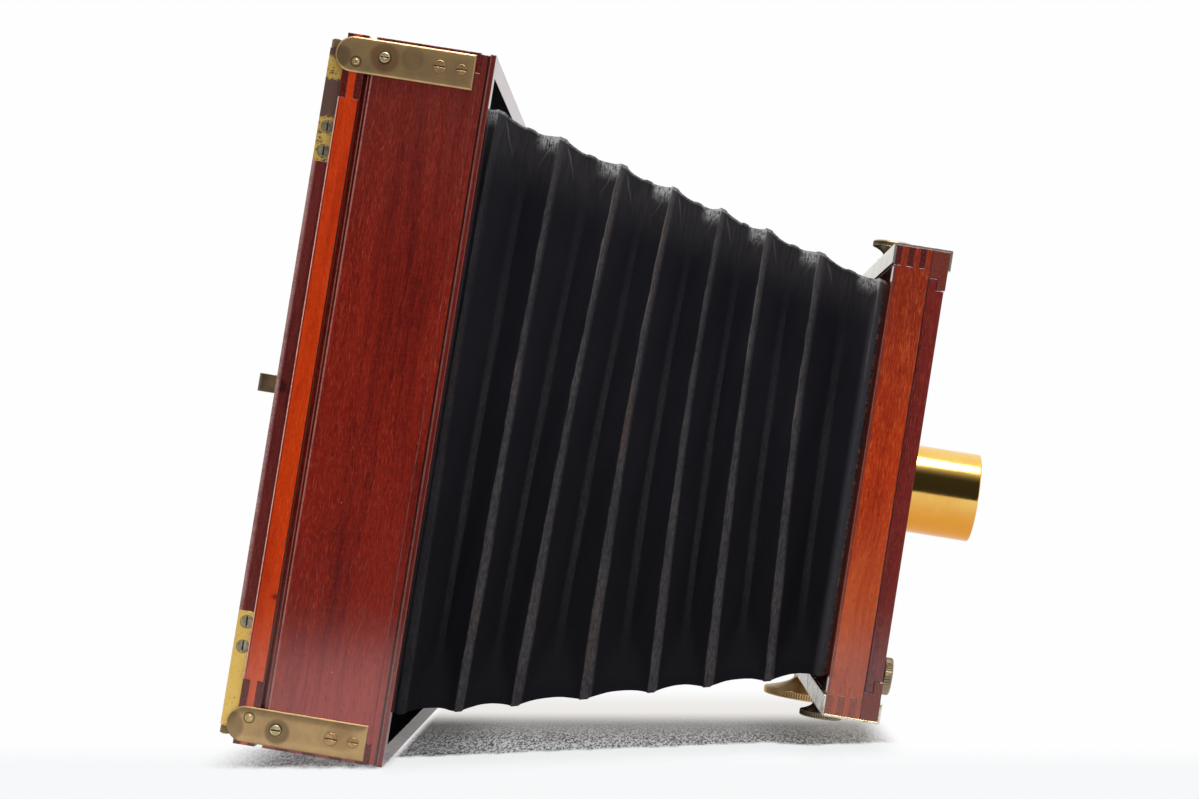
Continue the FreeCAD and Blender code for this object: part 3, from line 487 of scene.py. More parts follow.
# %% [markdown]
# The ends differ. The front one is pulled tight and carries a painted sheen, and old glue and torn
# threads show where it meets its flange. The rear one is painted paler where it comes out from under
# the body's rim, a painted light that lifts the shade there, and its high corners are frayed.

# %% Ends of the bellows
# Bands along Y in mm: a painted sheen at the front end, torn threads, a painted light that lifts the shade under
# the body's rim, and frayed corners.
painted_sheen_band, thread_band = (-94.5, -93.3, -91.5, -88.5), (-95.2, -94.6, -93.9, -93.5)
shade_lift_band_under_rim, frayed_band = (83.5, 87, 97, 104), (99, 104, 109, 114)


def between(signal, rise_start, rise_end, fall_start, fall_end):
    """1 between a rise and a fall, 0 outside them."""
    return signal.step(rise_start, rise_end) * signal.fall(fall_start, fall_end)


def bellows_ends(f):
    """Layers for the painted sheen, the painted light that lifts the shaded strip under the rim, glue, torn
    threads and fraying, by place along Y in mm.
    """
    near_top = f.z.step(200, 230)
    # A painted sheen near the front end.
    painted_sheen = between(f.y, *painted_sheen_band) * f.high.fall(0.8, 0.95)
    # Painted light that lifts the shade on the cloth under the body's rim.
    painted_light_under_rim = between(f.y, *shade_lift_band_under_rim) * f.z.step(262, 288)
    glued = f.y.fall(-94.9, -94.2) * near_top
    torn = between(f.y, *thread_band) * near_top * f.speck.step(0.5, 0.58)
    frayed = f.corner.fall(1.2, 2.4) * between(f.y, *frayed_band) * f.top * f.speck.step(0.5, 0.56)
    return ((painted_sheen * 0.6, tone(68, 68, 74)), (painted_light_under_rim * 0.8, tone(112, 115, 121)),
            (glued * 0.9, tone(112, 62, 56)), (torn * 0.8, tone(128, 88, 78)), (frayed, tone(178, 140, 112)))


# %% Leathercloth
def leathercloth():
    f = Finish("leathercloth", specular_ior_level=0.12)
    fold_signals(f)
    return f.show(
        base_color=f.coats(cloth_dust_and_painted_light(f), *worn_and_sheened_ridges(f), *dusty_corners(f), *bellows_ends(f)),
        roughness=0.78 + 0.12 * f.grain,
        normal=f.relief(f.grain + f.streak * 0.5, 0.2))


dress(bellows_cloth, leathercloth())
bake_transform(bellows_cloth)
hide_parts("bellows")
print("bellows dressed")

# %% [markdown]
# ## Spring plates
# Each plate is a flat brass spring: square at its front end, round at the rear, with a filed
# bevel all round that catches light. Two screws hold the front end, and the rear end
# springs up with its catch.

# %% Spring plate shape
plate_filing, plate_recess = 0.55, 0.06
long_points, short_points = 33, 9


def spring_plate(name):
    """Rings of the plate's outline, each drawn in by its inset and raised by its height.
    The outline is two straight sides, a half circle at the rear and a square front end.
    The top lies a little lower than the CAD plate's, so that the flush screw heads show."""
    low, high = (np.array(corner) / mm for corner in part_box(name))
    middle, radius = (low[0] + high[0]) / 2, (high[0] - low[0]) / 2
    front, centre = low[1], high[1] - radius
    side = np.linspace(front, centre, long_points)
    round_end = np.linspace(0, math.pi, long_points)[1:-1]
    front_end = np.linspace(-1, 1, short_points)[1:-1] * radius
    x = np.concatenate([side * 0 + radius, radius * np.cos(round_end), side * 0 - radius, front_end])
    y = np.concatenate([side, centre + radius * np.sin(round_end), side[::-1], front_end * 0 + front])
    inset = np.array([radius, plate_filing, 0, 0, plate_filing, 1.1 * plate_filing, radius / 2, radius])[:, None]
    height = np.array([0, 0, 0, 0.6, 0.98, 1, 1, 1])[:, None] * (high[2] - low[2] - plate_recess)
    shrink = 1 - inset / radius
    px = middle + x * shrink
    py = np.where(y > centre, centre + (y - centre) * shrink, np.maximum(y, front + inset))
    py = np.minimum(py, np.where(y > centre, np.inf, centre))
    pz = low[2] + np.broadcast_to(height, px.shape)
    return skin(name.replace("spring", "filed"), np.stack([px, py, pz], -1) * mm, False, 25.0)


plates = {side: spring_plate(side + "_spring_plate") for side in ("left", "right")}

# %% [markdown]
# ## Milled knobs
# A clamp knob is turned on a lathe and its rim is milled with fine flutes for the fingers.
# The shape is a turned profile whose radius dips by a cosine round the rim, so the flutes are
# real and catch the light, and only the rim rows pay for them.

# %% Turned pieces
least_steps, steps_per_flute = 96, 4


def turned(name, start, axis, profile, flutes, flute_depth):
    """A profile of (distance along the axis, radius, flute share) in mm, turned about the axis through start.
    The radius at an angle is the profile's, less its share of flute_depth x (1 - cosine of flutes x angle) / 2."""
    along, radius, share = np.array(profile, float).T[:, :, None]
    angle = np.linspace(0, 2 * math.pi, max(least_steps, flutes * steps_per_flute) + 1)[None, :-1]
    dip = flute_depth * (0.5 - 0.5 * np.cos(flutes * angle))
    r = radius - share * dip
    lengthwise = np.broadcast_to(along, r.shape)
    first, second = r * np.cos(angle), r * np.sin(angle)
    parts = {"x": (lengthwise, first, second), "y": (first, lengthwise, second)}[axis]
    return skin(name, np.array(start) * mm + np.stack(parts, -1) * mm, False, 28.0)


def dished_knob(side, neck, neck_radius, flare, radius, rim):
    """Profile of a knob with a hollow flare, a milled rim between two turned edges and a dished face."""
    t = np.linspace(0, 1, 9)
    curve = [(neck + flare * v, neck_radius + (radius - 1.0 - neck_radius) * v ** 1.7, 0) for v in t]
    back = neck + flare
    face = back + rim
    rows = [(0, 0, 0), (0, neck_radius - 0.4, 0), (0.4, neck_radius, 0)] + curve
    rows += [(back + 0.1, radius - 0.5, 0), (back + 0.45, radius - 0.05, 0), (back + 0.7, radius, 1)]
    rows += [(face - 0.95, radius, 1), (face - 0.7, radius - 0.05, 0), (face - 0.25, radius - 0.35, 0)]
    rows += [(face, radius - 0.9, 0), (face, radius - 2.6, 0), (face - 0.6, radius - 3.0, 0)]
    rows += [(face - 0.7, radius * 0.45, 0), (face - 0.25, radius * 0.4, 0), (face - 0.05, radius * 0.33, 0)]
    rows += [(face - 0.05, radius * 0.12, 0), (face - 0.3, 0, 0)]
    return [(side * a, r, s) for a, r, s in rows]


# %% Knobs on the sides
def x_knob(name, node, body, sizes, flutes):
    """A dished knob whose face ends where the CAD knob's does. sizes are those of dished_knob, in mm."""
    low, high = (np.array(corner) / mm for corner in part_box(node))
    side = 1 if low[0] + high[0] > 0 else -1
    neck, _, flare, _, rim = sizes
    outer = high[0] if side > 0 else low[0]
    start = (outer - side * (neck + flare + rim), (low[1] + high[1]) / 2, (low[2] + high[2]) / 2)
    piece = turned(name, start, "x", dished_knob(side, *sizes), flutes, 0.35)
    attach(piece, body)
    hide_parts(node)
    return piece


focus_sizes, clamp_sizes = (2.9, 6.0, 6.5, 20.5, 4.0), (2.4, 4.6, 3.0, 10.0, 3.2)
focus_knob = x_knob("milled_focus_knob", "focus_knob", "focus_drive", focus_sizes, 96)
clamp_knobs = {side: x_knob(side + "_milled_clamp_knob", side + "_clamp_knob", side + "_clamp", clamp_sizes, 56)
               for side in ("left", "right")}

# %% [markdown]
# The lens board's clamp knob points forward and is another shape: a stem with a collar at its
# root, and a small milled head whose face is sunk.

# %% Knob of the lens board
low, high = (np.array(corner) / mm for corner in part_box("board_clamp_knob"))
radius, rear = (high[0] - low[0]) / 2, high[1]
stem = rear - low[1]
rows = [(0, 0, 0), (0, 1.5, 0), (3.6, 1.5, 0), (3.6, 3.6, 0), (3.9, 3.9, 0), (5.0, 3.9, 0), (5.5, 3.0, 0)]
rows += [(stem - 6.2, 3.0, 0), (stem - 4.4, 3.8, 0), (stem - 4.0, radius - 0.7, 0), (stem - 3.6, radius - 0.1, 0)]
rows += [(stem - 3.4, radius, 1), (stem - 0.9, radius, 1), (stem - 0.7, radius - 0.1, 0)]
rows += [(stem - 0.2, radius - 0.5, 0), (stem, radius - 1.1, 0), (stem, radius - 2.2, 0)]
rows += [(stem - 0.4, radius - 2.5, 0), (stem - 0.4, 0, 0)]
board_knob = turned("milled_board_knob", ((low[0] + high[0]) / 2, rear, (low[2] + high[2]) / 2), "y",
                    [(-a, r, s) for a, r, s in rows], 44, 0.3)
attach(board_knob, "board_clamp")
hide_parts("board_clamp_knob")

# %% [markdown]
# ## Mahogany
# French polished mahogany shows three scales at once: broad bands of darker growth, fine
# streaks and pores along the grain, and an end grain of dots. Each board has its own grain
# direction, so the pattern is stretched along that axis. Edges are worn pale where hands
# rub them, and the Bevel node finds the edges of a CAD solid without touching its mesh.

# %% Signals in the wood
def along(grain, share):
    """A squeeze by a share along the grain and none across it, so that a round pattern becomes a streak."""
    return tuple(share if n == grain else 1.0 for n in range(3))


def wood_signals(f, grain, seed):
    """Keeps the true spot as here, lets the pattern's spot wander up to a few mm across the grain, and
    adds the noises that the wood's figure and wear are made from."""
    f.here = f.spot
    bend = f.noise(f.spot, 0.011, 2.0)
    f.spot = f.move("ADD", f.spot, f.join(*[0.0 if n == grain else (bend - 0.5) * 9 + seed for n in range(3)]))
    f.broad = f.streaks(along(grain, 0.12), 0.05, 2.0)
    f.band = f.streaks(along(grain, 0.03), 0.3, 3.0, 0.6)
    f.streak = f.streaks(along(grain, 0.12), 1.1, 3.0, 0.7)
    f.pore = f.streaks(along(grain, 0.1), 2.6, 1.0).step(0.62, 0.7)
    f.rub = f.noise(f.here, 0.11, 4.0, 0.7)
    f.grit = f.noise(f.here, 0.9, 2.0, 0.6)


def from_line(f, places):
    """Distance in mm from a line along one axis, given its places on the other two, as {axis: place}."""
    parts = f.axes(f.here)
    first, second = (parts[n] - place for n, place in places.items())
    return (first * first + second * second) ** 0.5


# %% Face grain and end grain
def face_grain(f, grain, tones, tone_and_reflection_shifts, figure):
    """Deep and usual tones by a weighted sum of four noises, then slow shifts along X of tone, with a painted
    reflection of the table where a board is given one, bright flecks, hairs, dark pores and a few pale ones.
    Returns the colour and the height of the flecks."""
    deep, usual, bright = tones
    fleck = f.streaks(along(grain, figure), 2.6, 2.0)
    ripple = f.streaks(along(grain, 3.2), 0.22, 2.0)
    hair = f.streaks(along(grain, 0.05), 3.6, 1.0).step(0.6, 0.68) * f.broad.step(0.4, 0.6)
    pale = f.streaks(along(grain, 0.6), 0.55, 1.0).step(0.815, 0.83)
    tint = f.broad * 0.3 + f.band * 0.3 + f.streak * 0.28 + ripple * 0.12
    mottle = 0.65 + 0.35 * f.band.step(0.4, 0.6)
    x, _, _ = f.axes(f.here)
    slow = [(x.step(start, full) * (strength * mottle), colour) for start, full, colour, strength in tone_and_reflection_shifts]
    board = f.coats(
        f.paint(tint.step(0.38, 0.56), deep, usual), *slow,
        (fleck.step(0.46, 0.72) * tint.step(0.36, 0.6) * 0.34, bright),
        (hair * 0.4, shaded(bright, 1.25, 0.02)), (f.pore * 0.4, shaded(deep, 0.4)),
        (pale * 0.8, shaded(bright, 2, 0.06)))
    return board, fleck


def end_grain(f, grain, tones):
    """The share of a face that looks along the grain, and its dotted colour, darker than the face."""
    facing = f.axes(f.node("TexCoord").outputs["Normal"])[grain]
    dots = f.noise(f.spot, 1.6, 3.0, 0.7).step(0.35, 0.65)
    return abs(facing).step(0.6, 0.8), f.paint(dots, shaded(tones[0], 0.5), shaded(tones[1], 0.85))


# %% Knots, a painted shadow, and arris lines
def knot_and_lug_shadow_coats(f, knots_and_lug_shadow, deep):
    """A knot is a dark eye in a wider dark haze, with a ragged outline. The same shape beside the lug on the
    screen's top rail is a painted shadow of the lug.
    """
    for at_x, at_y, radius in knots_and_lug_shadow:
        away = from_line(f, {0: at_x, 1: at_y}) + (f.streak - 0.5) * radius
        yield away.fall(radius * 0.3, radius * 2.2) * 0.4, deep
        yield away.fall(radius * 0.4, radius) * 0.75, shaded(deep, 0.3)


def line_coats(f, lines):
    """A pale line is chipped and a dark one whole. A narrow line is crisp and a broad one fades."""
    for places, reach, strength, colour in lines:
        chipped = (f.rub * 0.5 + f.grit * 0.5).step(0.4, 0.54, 0.5, 1.0) if sum(colour) > 0.1 else 1.0
        near = from_line(f, places).fall(reach * (0.75 if reach < 1.5 else 0.2), reach)
        yield near * chipped * strength, colour


# %% Mahogany finish
lens_axis = (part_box("body_top_board")[1].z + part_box("body_bottom_board")[0].z) / 2 / mm
polish, bare_wood, dark_inside = 0.1, tone(190, 140, 122), tone(20, 18, 19)


def mahogany(name, grain, tones, seed, lines, bare, hollow, tone_and_reflection_shifts, knots_and_lug_shadow, figure):
    """grain is 0, 1 or 2 for boards along X, Y or Z; tones are (deep, usual, bright).
    seed moves the pattern, in mm, so that boards of one wood differ.
    lines are arris lines of wear, painted highlight and painted shade as ({axis: place, ...}, reach, strength,
    colour). bare is how worn the others are.
    hollow is the half size of the black inside of a box about the lens axis, or None.
    The slow shifts are (x start, x full, colour, strength): changes along X of the wood's tone, and on the body's
    top board a painted reflection of the table at its low end.
    The knots are (x, y, radius) in mm: dark eyes in the wood, and on the screen's top rail a painted shadow of its
    lug. figure is how much the bright flecks
    are squeezed along the grain: less makes longer streaks."""
    f = Finish(name, ior=1.75)
    wood_signals(f, grain, seed)
    board, fleck = face_grain(f, grain, tones, tone_and_reflection_shifts, figure)
    end, dotted = end_grain(f, grain, tones)
    edge, eased = f.arris(0.5)
    worn = edge.step(0.35, 1.0) * f.rub.step(0.44, 0.66) * bare
    board = f.coats(board, *knot_and_lug_shadow_coats(f, knots_and_lug_shadow, tones[0]), (end, dotted), (worn, bare_wood),
                    *line_coats(f, lines))
    if hollow:
        x, _, z = f.axes(f.here)
        inside = abs(x).fall(hollow, hollow + 0.05) * abs(z - lens_axis).fall(hollow, hollow + 0.05)
        board = f.paint(inside, board, dark_inside)
    dull = f.noise(f.here, 0.02, 3.0)
    return f.show(
        base_color=board,
        roughness=polish + 0.05 * dull + 0.25 * worn + 0.12 * end,
        normal=f.relief(f.streak * 0.3 + fleck * 0.4 - f.pore * 0.7, 0.012, eased))


# %% [markdown]
# An arris is the line where two faces of a board meet, and it is the first thing to wear. The
# pale lines are worn and also carry a painted highlight, and the black lines are painted shade
# in gaps and a groove. Each line's place comes from the box of its board, moved in by a few
# tenths where it lies beside the edge.

# %% Worn arrises, painted highlights and painted shade in gaps
def arris_line(node, y_end, z_end, reach, strength, colour, y_in=0.0, z_in=0.0):
    """A line along X on one edge of a node's box, for worn arrises, painted highlights and painted shade: y_end
    and z_end are 0 for its low face, 1 for its high one.
    y_in and z_in move it off that edge, in mm."""
    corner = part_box(node)
    return ({1: corner[y_end].y / mm + y_in, 2: corner[z_end].z / mm + z_in}, reach, strength, colour)


white_wear_and_highlight, pinkish_wear_and_highlight, gap_and_groove_shade = tone(238, 176, 160), tone(172, 108, 96), tone(38, 14, 12)
dark_red, lit_end_face_maroon = tone(92, 24, 14), tone(96, 50, 44)
# Pale lines: wear and a painted highlight. Black lines: painted shade in the bead groove and in gaps. The maroon
# strip stands in for the lit rear face of the front top board.
arris_wear_light_and_shade = {
    "body_top_board": (arris_line("body_top_board", 1, 1, 0.75, 0.9, pinkish_wear_and_highlight),
                       arris_line("body_top_board", 0, 1, 0.5, 0.5, pinkish_wear_and_highlight),
                       # Painted shade in the bead groove near the front edge.
                       arris_line("body_top_board", 0, 1, 0.75, 0.85, gap_and_groove_shade, 2.75, -0.2),
                       arris_line("body_top_board", 0, 1, 1.2, 0.7, tone(84, 27, 24), 1.1),
                       # Painted highlight along the edge of the bead groove.
                       arris_line("body_top_board", 0, 1, 0.35, 0.6, tone(150, 92, 82), 2.0)),
    # Painted highlight on the arris of the seat's step.
    "back_seat": (arris_line("back_seat", 0, 1, 0.7, 0.85, tone(166, 106, 96), 1.8),),
    "back_top_rail": (arris_line("back_top_rail", 1, 1, 1.15, 0.85, dark_red),
                      arris_line("back_top_rail", 1, 1, 0.5, 1.0, white_wear_and_highlight),
                      # Painted shade in the gap in front of the rail.
                      arris_line("back_top_rail", 0, 1, 0.7, 0.95, gap_and_groove_shade)),
    # A pale line of wear and painted highlight along the rail's rear edge.
    "screen_top_rail": (arris_line("screen_top_rail", 1, 1, 2.2, 0.95, tone(172, 132, 126)),),
    # A maroon strip painted as the lit rear face of the board.
    "front_top_board": (arris_line("front_top_board", 1, 1, 1.4, 0.85, lit_end_face_maroon),
                        arris_line("front_top_board", 1, 1, 0.35, 0.5, pinkish_wear_and_highlight),
                        # Painted shade in the gap at the board's front edge.
                        arris_line("front_top_board", 0, 1, 0.4, 0.9, gap_and_groove_shade)),
}
print("worn lines on", ", ".join(arris_wear_light_and_shade))

# %% [markdown]
# The camera isn't all one timber. The body is dark red, the long rails of the back are a bright
# orange red, the front frame lies between them, and the base is brown. Each row below names a
# grain direction, three tones and the boards cut from that wood.

# %% Boards
dark_tones = (tone(84, 14, 12), tone(122, 25, 14), tone(168, 60, 26))
frame_tones = (tone(84, 26, 25), tone(103, 37, 34), tone(130, 55, 46))
rail_tones = (tone(172, 40, 0), tone(196, 55, 0), tone(222, 88, 6))
front_tones = (tone(130, 27, 0), tone(172, 44, 0), tone(234, 116, 34))
inner_tones = (tone(78, 17, 15), tone(112, 31, 26), tone(146, 58, 44))
end_tones = (tone(124, 42, 28), tone(138, 54, 38), tone(160, 72, 50))
low_tones = (tone(150, 70, 54), tone(166, 86, 66), tone(186, 100, 70))
base_tones = (tone(100, 30, 16), tone(138, 50, 24), tone(165, 76, 38))
boards = (
    (0, dark_tones, "body_top_board body_bottom_board back_seat bellows_rear_frame"),
    (2, dark_tones, "body_left_board body_right_board back_left_stile back_right_stile"),
    (0, frame_tones, "screen_top_rail screen_bottom_rail glazing_beads"),
    (2, frame_tones, "screen_left_stile screen_right_stile"),
    (0, inner_tones, "lens_board lens_board_sill"),
    (2, inner_tones, "front_left_board"),
    (2, end_tones, "lens_board_guides"),
    (2, low_tones, "front_right_board"),
    (0, rail_tones, "back_top_rail back_bottom_rail"),
    (0, front_tones, "front_top_board front_bottom_board bellows_board bellows_front_flange"),
    (1, base_tones, "baseboard base_left_rail base_right_rail carriage"),
    (0, base_tones, "foot_rail"),
)
# Slow shifts along X. On the body's top board, the lighter pinkish shift toward the low end, by the table, is a
# painted reflection of the white table; the other entries shift the wood's tone.
slow_tone_and_reflection = {
    "body_top_board": ((40, 150, tone(92, 38, 35), 0.8), (-82, -132, tone(160, 62, 54), 0.85)),
    "front_top_board": ((0, 85, tone(118, 34, 22), 0.85), (-5, -55, tone(190, 84, 36), 0.75),
                        (-56, -94, tone(150, 62, 38), 0.8)),
    "back_top_rail": ((-70, -130, tone(200, 78, 14), 0.6),),
}
# The knot on the screen's top rail sits beside the lug: it is a painted shadow of the lug, drawn as a knot.
knots_and_lug_shadow = {"back_top_rail": ((-86.7, 139.0, 1.7),), "screen_top_rail": ((-0.5, 150.9, 3.8),)}
inside_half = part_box("body_left_board")[0].x / mm + 0.05
seed_step = 37.0
for grain, tones, names in boards:
    for number, name in enumerate(names.split()):
        boxed = name.startswith("body_") or name == "bellows_rear_frame"
        dress(nodes[name], mahogany(
            name + "_wood", grain, tones, seed=seed_step * number + 5 * grain,
            lines=arris_wear_light_and_shade.get(name, ()), bare=0.25 if name.startswith("lens_board") else 0.5,
            hollow=inside_half if boxed else None, tone_and_reflection_shifts=slow_tone_and_reflection.get(name, ()),
            knots_and_lug_shadow=knots_and_lug_shadow.get(name, ()), figure=0.06 if name.startswith("front_") else 0.13))
print("wood on", sum(len(names.split()) for _, _, names in boards), "nodes")

# %% [markdown]
# ## Brass
# Old lacquer turns brass olive and dull, and it wears through to gold at the edges. Polished
# pieces stay bright. One function makes both: tarnish lies over bare metal, and edges, fine
# scratches and stains decide where each shows.

# %% Brass finishes
strap_screws_x, strap_pivot_x = 104, 134


def brass(name, bare, tarnish, cover, gloss, stains_and_painted_rings=(), shine=1.0, patches=None, rim=None, rubbed=0.8,
          ease=0.35, clouds=(0.25, 0.75), under=None):
    """bare and tarnish are the metal's two colours, cover how much of it the film of tarnish hides, and gloss
    its roughness. The stains are (x, y, inner radius, outer radius, strength, colour) in mm on faces that
    look up: real stains, and rings of painted shade and painted highlight round screws and pins.
    patches is (x low, x high, lacquer colour): film gives way to lacquer from the first place to the second,
    except round a strap's screws and pivot. rim is a colour for edges that differ. rubbed is how far edges
    have lost their film, ease is how round they look in mm, clouds is the span of noise over which film
    thickens, and under is the colour of the right-hand side of a turned piece."""
    f = Finish(name, metallic=shine)
    cloud = f.noise(f.spot, 0.12, 4.0, 0.6)
    speck = f.noise(f.spot, 1.4, 3.0, 0.7)
    edge, eased = f.arris(ease)
    film = (cloud.step(*clouds, cover - 0.25, cover + 0.2) - edge.step(0.2, 0.8) * rubbed).most(0)
    metal = f.paint(film, bare, tarnish)
    if rim:
        metal = f.paint(edge.step(0.2, 0.7) * 0.9, metal, rim)
    metal = f.paint(speck.step(0.66, 0.76) * 0.45, metal, shaded(tarnish, 0.35))
    x, y, _ = f.axes(f.spot)
    if under:
        metal = f.paint(x.fall(-15, 4) * 0.85, metal, under)
    if patches:
        x_low, x_high, lacquer = patches
        handled = abs(x - strap_screws_x).fall(7, 12).most(abs(x - strap_pivot_x).fall(3, 7))
        flakes = f.noise(f.spot, 0.5, 5.0, 0.8) * 2.4 - 0.7 - handled * 0.62
        kept = x.step(x_low, x_high) * flakes.step(0.0, 0.16)
        metal = f.paint(kept, metal, lacquer)
        pits = f.noise(f.spot, 0.8, 3.0, 0.75).step(0.62, 0.7) * (1 - kept)
        metal = f.paint(pits * 0.8, metal, shaded(tarnish, 0.2))
    for at_x, at_y, inner, outer, strength, colour in stains_and_painted_rings:
        # A wide stain has a ragged outline, and a ring of painted shade round a screw a clean one.
        ragged = 0.5 * outer if outer > 4 else 0.1
        away = ((x - at_x) ** 2 + (y - at_y) ** 2) ** 0.5 + (cloud - 0.5) * ragged
        mark = away.fall(outer * 0.8, outer * 1.12)
        if inner:
            mark = mark * away.step(inner * 0.7, inner * 1.1)
        metal = f.paint(mark * strength, metal, colour)
    lines = f.streaks((0.15, 3.0, 3.0), 1.0, 2.0) * 0.5 + f.streaks((3.0, 0.2, 3.0), 1.0, 2.0) * 0.5
    return f.show(
        base_color=metal,
        roughness=gloss + 0.1 * film + 0.1 * (lines - 0.5),
        normal=f.relief(lines + speck * 0.3, 0.015, eased))


# %% [markdown]
# Fingers and oil leave stains on the spring plates: a reddish ring round the lifting screw on one
# plate and a dark one on the other, and dark patches near the ends. A ring of painted shade lies
# round each pin and screw head where it sits in its hole, and each pin's chamfer has a painted
# highlight. Every mark is one row of place, radii, strength and colour.

# %% Stains, painted shade and painted highlights on the spring plates
screw_x, pin_x, lift_y, pin_y = 140.7, 137.4, 129.5, 141.2
plate_screw_shade_radii = ((97.3, 2.45), (106.6, 2.9))
old_bare, old_film = tone(240, 200, 136), tone(188, 156, 114)
reddish, dark_film = tone(140, 84, 58), tone(92, 78, 64)
ring_gap_shade, pin_chamfer_highlight = tone(34, 26, 20), tone(232, 198, 130)
# Per plate: stains, dark patches near the ends, a ring of painted shade round the lifting screw and the pin, and a
# painted highlight on the pin's chamfer.
plate_stains_and_painted_rings = {
    "left": ((screw_x, lift_y, 2.6, 6.2, 0.5, reddish), (screw_x, lift_y, 0, 2.8, 0.85, ring_gap_shade),
             (pin_x, pin_y, 0, 2.4, 0.9, ring_gap_shade), (pin_x, pin_y, 1.15, 1.9, 0.9, pin_chamfer_highlight),
             (139.0, 148.0, 0, 4.6, 0.4, dark_film), (142.0, 118.0, 0, 5.0, 0.25, dark_film)),
    "right": ((-141.4, lift_y - 0.6, 2.2, 5.4, 0.6, dark_film), (-screw_x, lift_y, 0, 2.8, 0.8, ring_gap_shade),
              (-pin_x, pin_y, 0, 2.4, 0.9, ring_gap_shade), (-pin_x, pin_y, 1.15, 1.9, 0.9, pin_chamfer_highlight),
              (-142.0, 149.0, 0, 6.0, 0.5, dark_film), (-139.0, 103.0, 0, 6.0, 0.25, reddish)),
}
for side, piece in plates.items():
    sign = 1 if side == "left" else -1
    # A ring of painted shade round each plate screw, where it sits in its hole.
    screw_shade_rings = tuple((sign * screw_x, at_y, 0, radius, 0.75, ring_gap_shade) for at_y, radius in plate_screw_shade_radii)
    dress(piece, brass(side + "_plate_brass", old_bare, old_film, 0.8, 0.3, plate_stains_and_painted_rings[side] + screw_shade_rings, 0.8,
                       rubbed=0.5))
    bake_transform(piece)
    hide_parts(side + "_spring_plate")
print("stains on", ", ".join(piece.name for piece in plates.values()))

# %% [markdown]
# The other brass pieces each have a colour of their own, by how much they are handled. The
# barrel is lacquered gold, the straps keep some brown lacquer, and the channels have gone pale
# on one side and dark on the other.

# %% Brass pieces
old_brass = brass("old_brass", old_bare, tone(170, 150, 112), 0.7, 0.24, shine=0.85)
dark_brass = brass("dark_brass", tone(166, 140, 92), tone(112, 92, 62), 0.7, 0.4, shine=0.5)
bright_brass = brass("bright_brass", tone(252, 214, 126), tone(240, 182, 74), 0.4, 0.09,
                     under=tone(216, 140, 42))
channels = {
    "left": brass("left_channel_brass", tone(250, 248, 238), tone(220, 216, 198), 0.6, 0.25, shine=0.9,
                  rim=tone(112, 96, 62)),
    "right": brass("right_channel_brass", tone(250, 248, 238), tone(20, 26, 20), 0.32, 0.25, shine=0.85,
                   rim=tone(240, 214, 140), ease=0.8, clouds=(0.5, 0.6))}
warm_knob = brass("warm_knob_brass", tone(240, 206, 148), tone(206, 168, 112), 0.7, 0.3, shine=0.85)
lug_brass = brass("lug_brass", tone(184, 154, 112), tone(84, 66, 56), 0.8, 0.35, shine=0.7,
                  rim=tone(232, 214, 150))
olive_knob = brass("olive_knob_brass", tone(188, 168, 134), tone(136, 124, 100), 0.7, 0.3, shine=0.9)
grey_knob = brass("grey_knob_brass", tone(180, 164, 136), tone(112, 100, 82), 0.75, 0.3, shine=0.9)
black_brass = brass("black_brass", tone(70, 64, 56), tone(30, 28, 26), 0.85, 0.4)
for name in ("clamp_washers", "racks", "tripod_bush"):
    dress(nodes[name], old_brass)
dress(nodes["screen_lug"], lug_brass)
for side, metal in channels.items():
    dress(nodes[side + "_upright"], metal)
dress(nodes["pivot_arms"], dark_brass)
for name in ("lens_barrel", "lens_flange"):
    dress(nodes[name], bright_brass)
strap_screw_x = (-109.3, -99.0, 99.0, 109.3)
strap_screw_y = sum(corner.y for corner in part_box("strap_screws")) / 2 / mm
# A ring of painted shade round each strap screw.
strap_screw_shade_rings = tuple((at_x, strap_screw_y, 0, 2.85, 0.85, ring_gap_shade) for at_x in strap_screw_x)
strap_brass = brass("strap_brass", tone(255, 220, 124), tone(252, 196, 88), 0.35, 0.3, strap_screw_shade_rings, 0.6,
                    patches=(-20, 20, tone(132, 102, 90)))
dress(nodes["screen_straps"], strap_brass)
dress(nodes["retaining_rings"], black_brass)
for piece, metal in ((focus_knob, warm_knob), (board_knob, olive_knob), (clamp_knobs["left"], olive_knob),
                     (clamp_knobs["right"], grey_knob)):
    dress(piece, metal)
print("brass finishes", sum("brass" in material.name for material in bpy.data.materials))

# %% [markdown]
# ## Steel screws
# The screw heads are old bare steel: grey and scratched, with a painted highlight on their edges and
# painted black shade down in the slots. The slot floor lies under the level of the head, so height
# alone says where that painted shade sits.

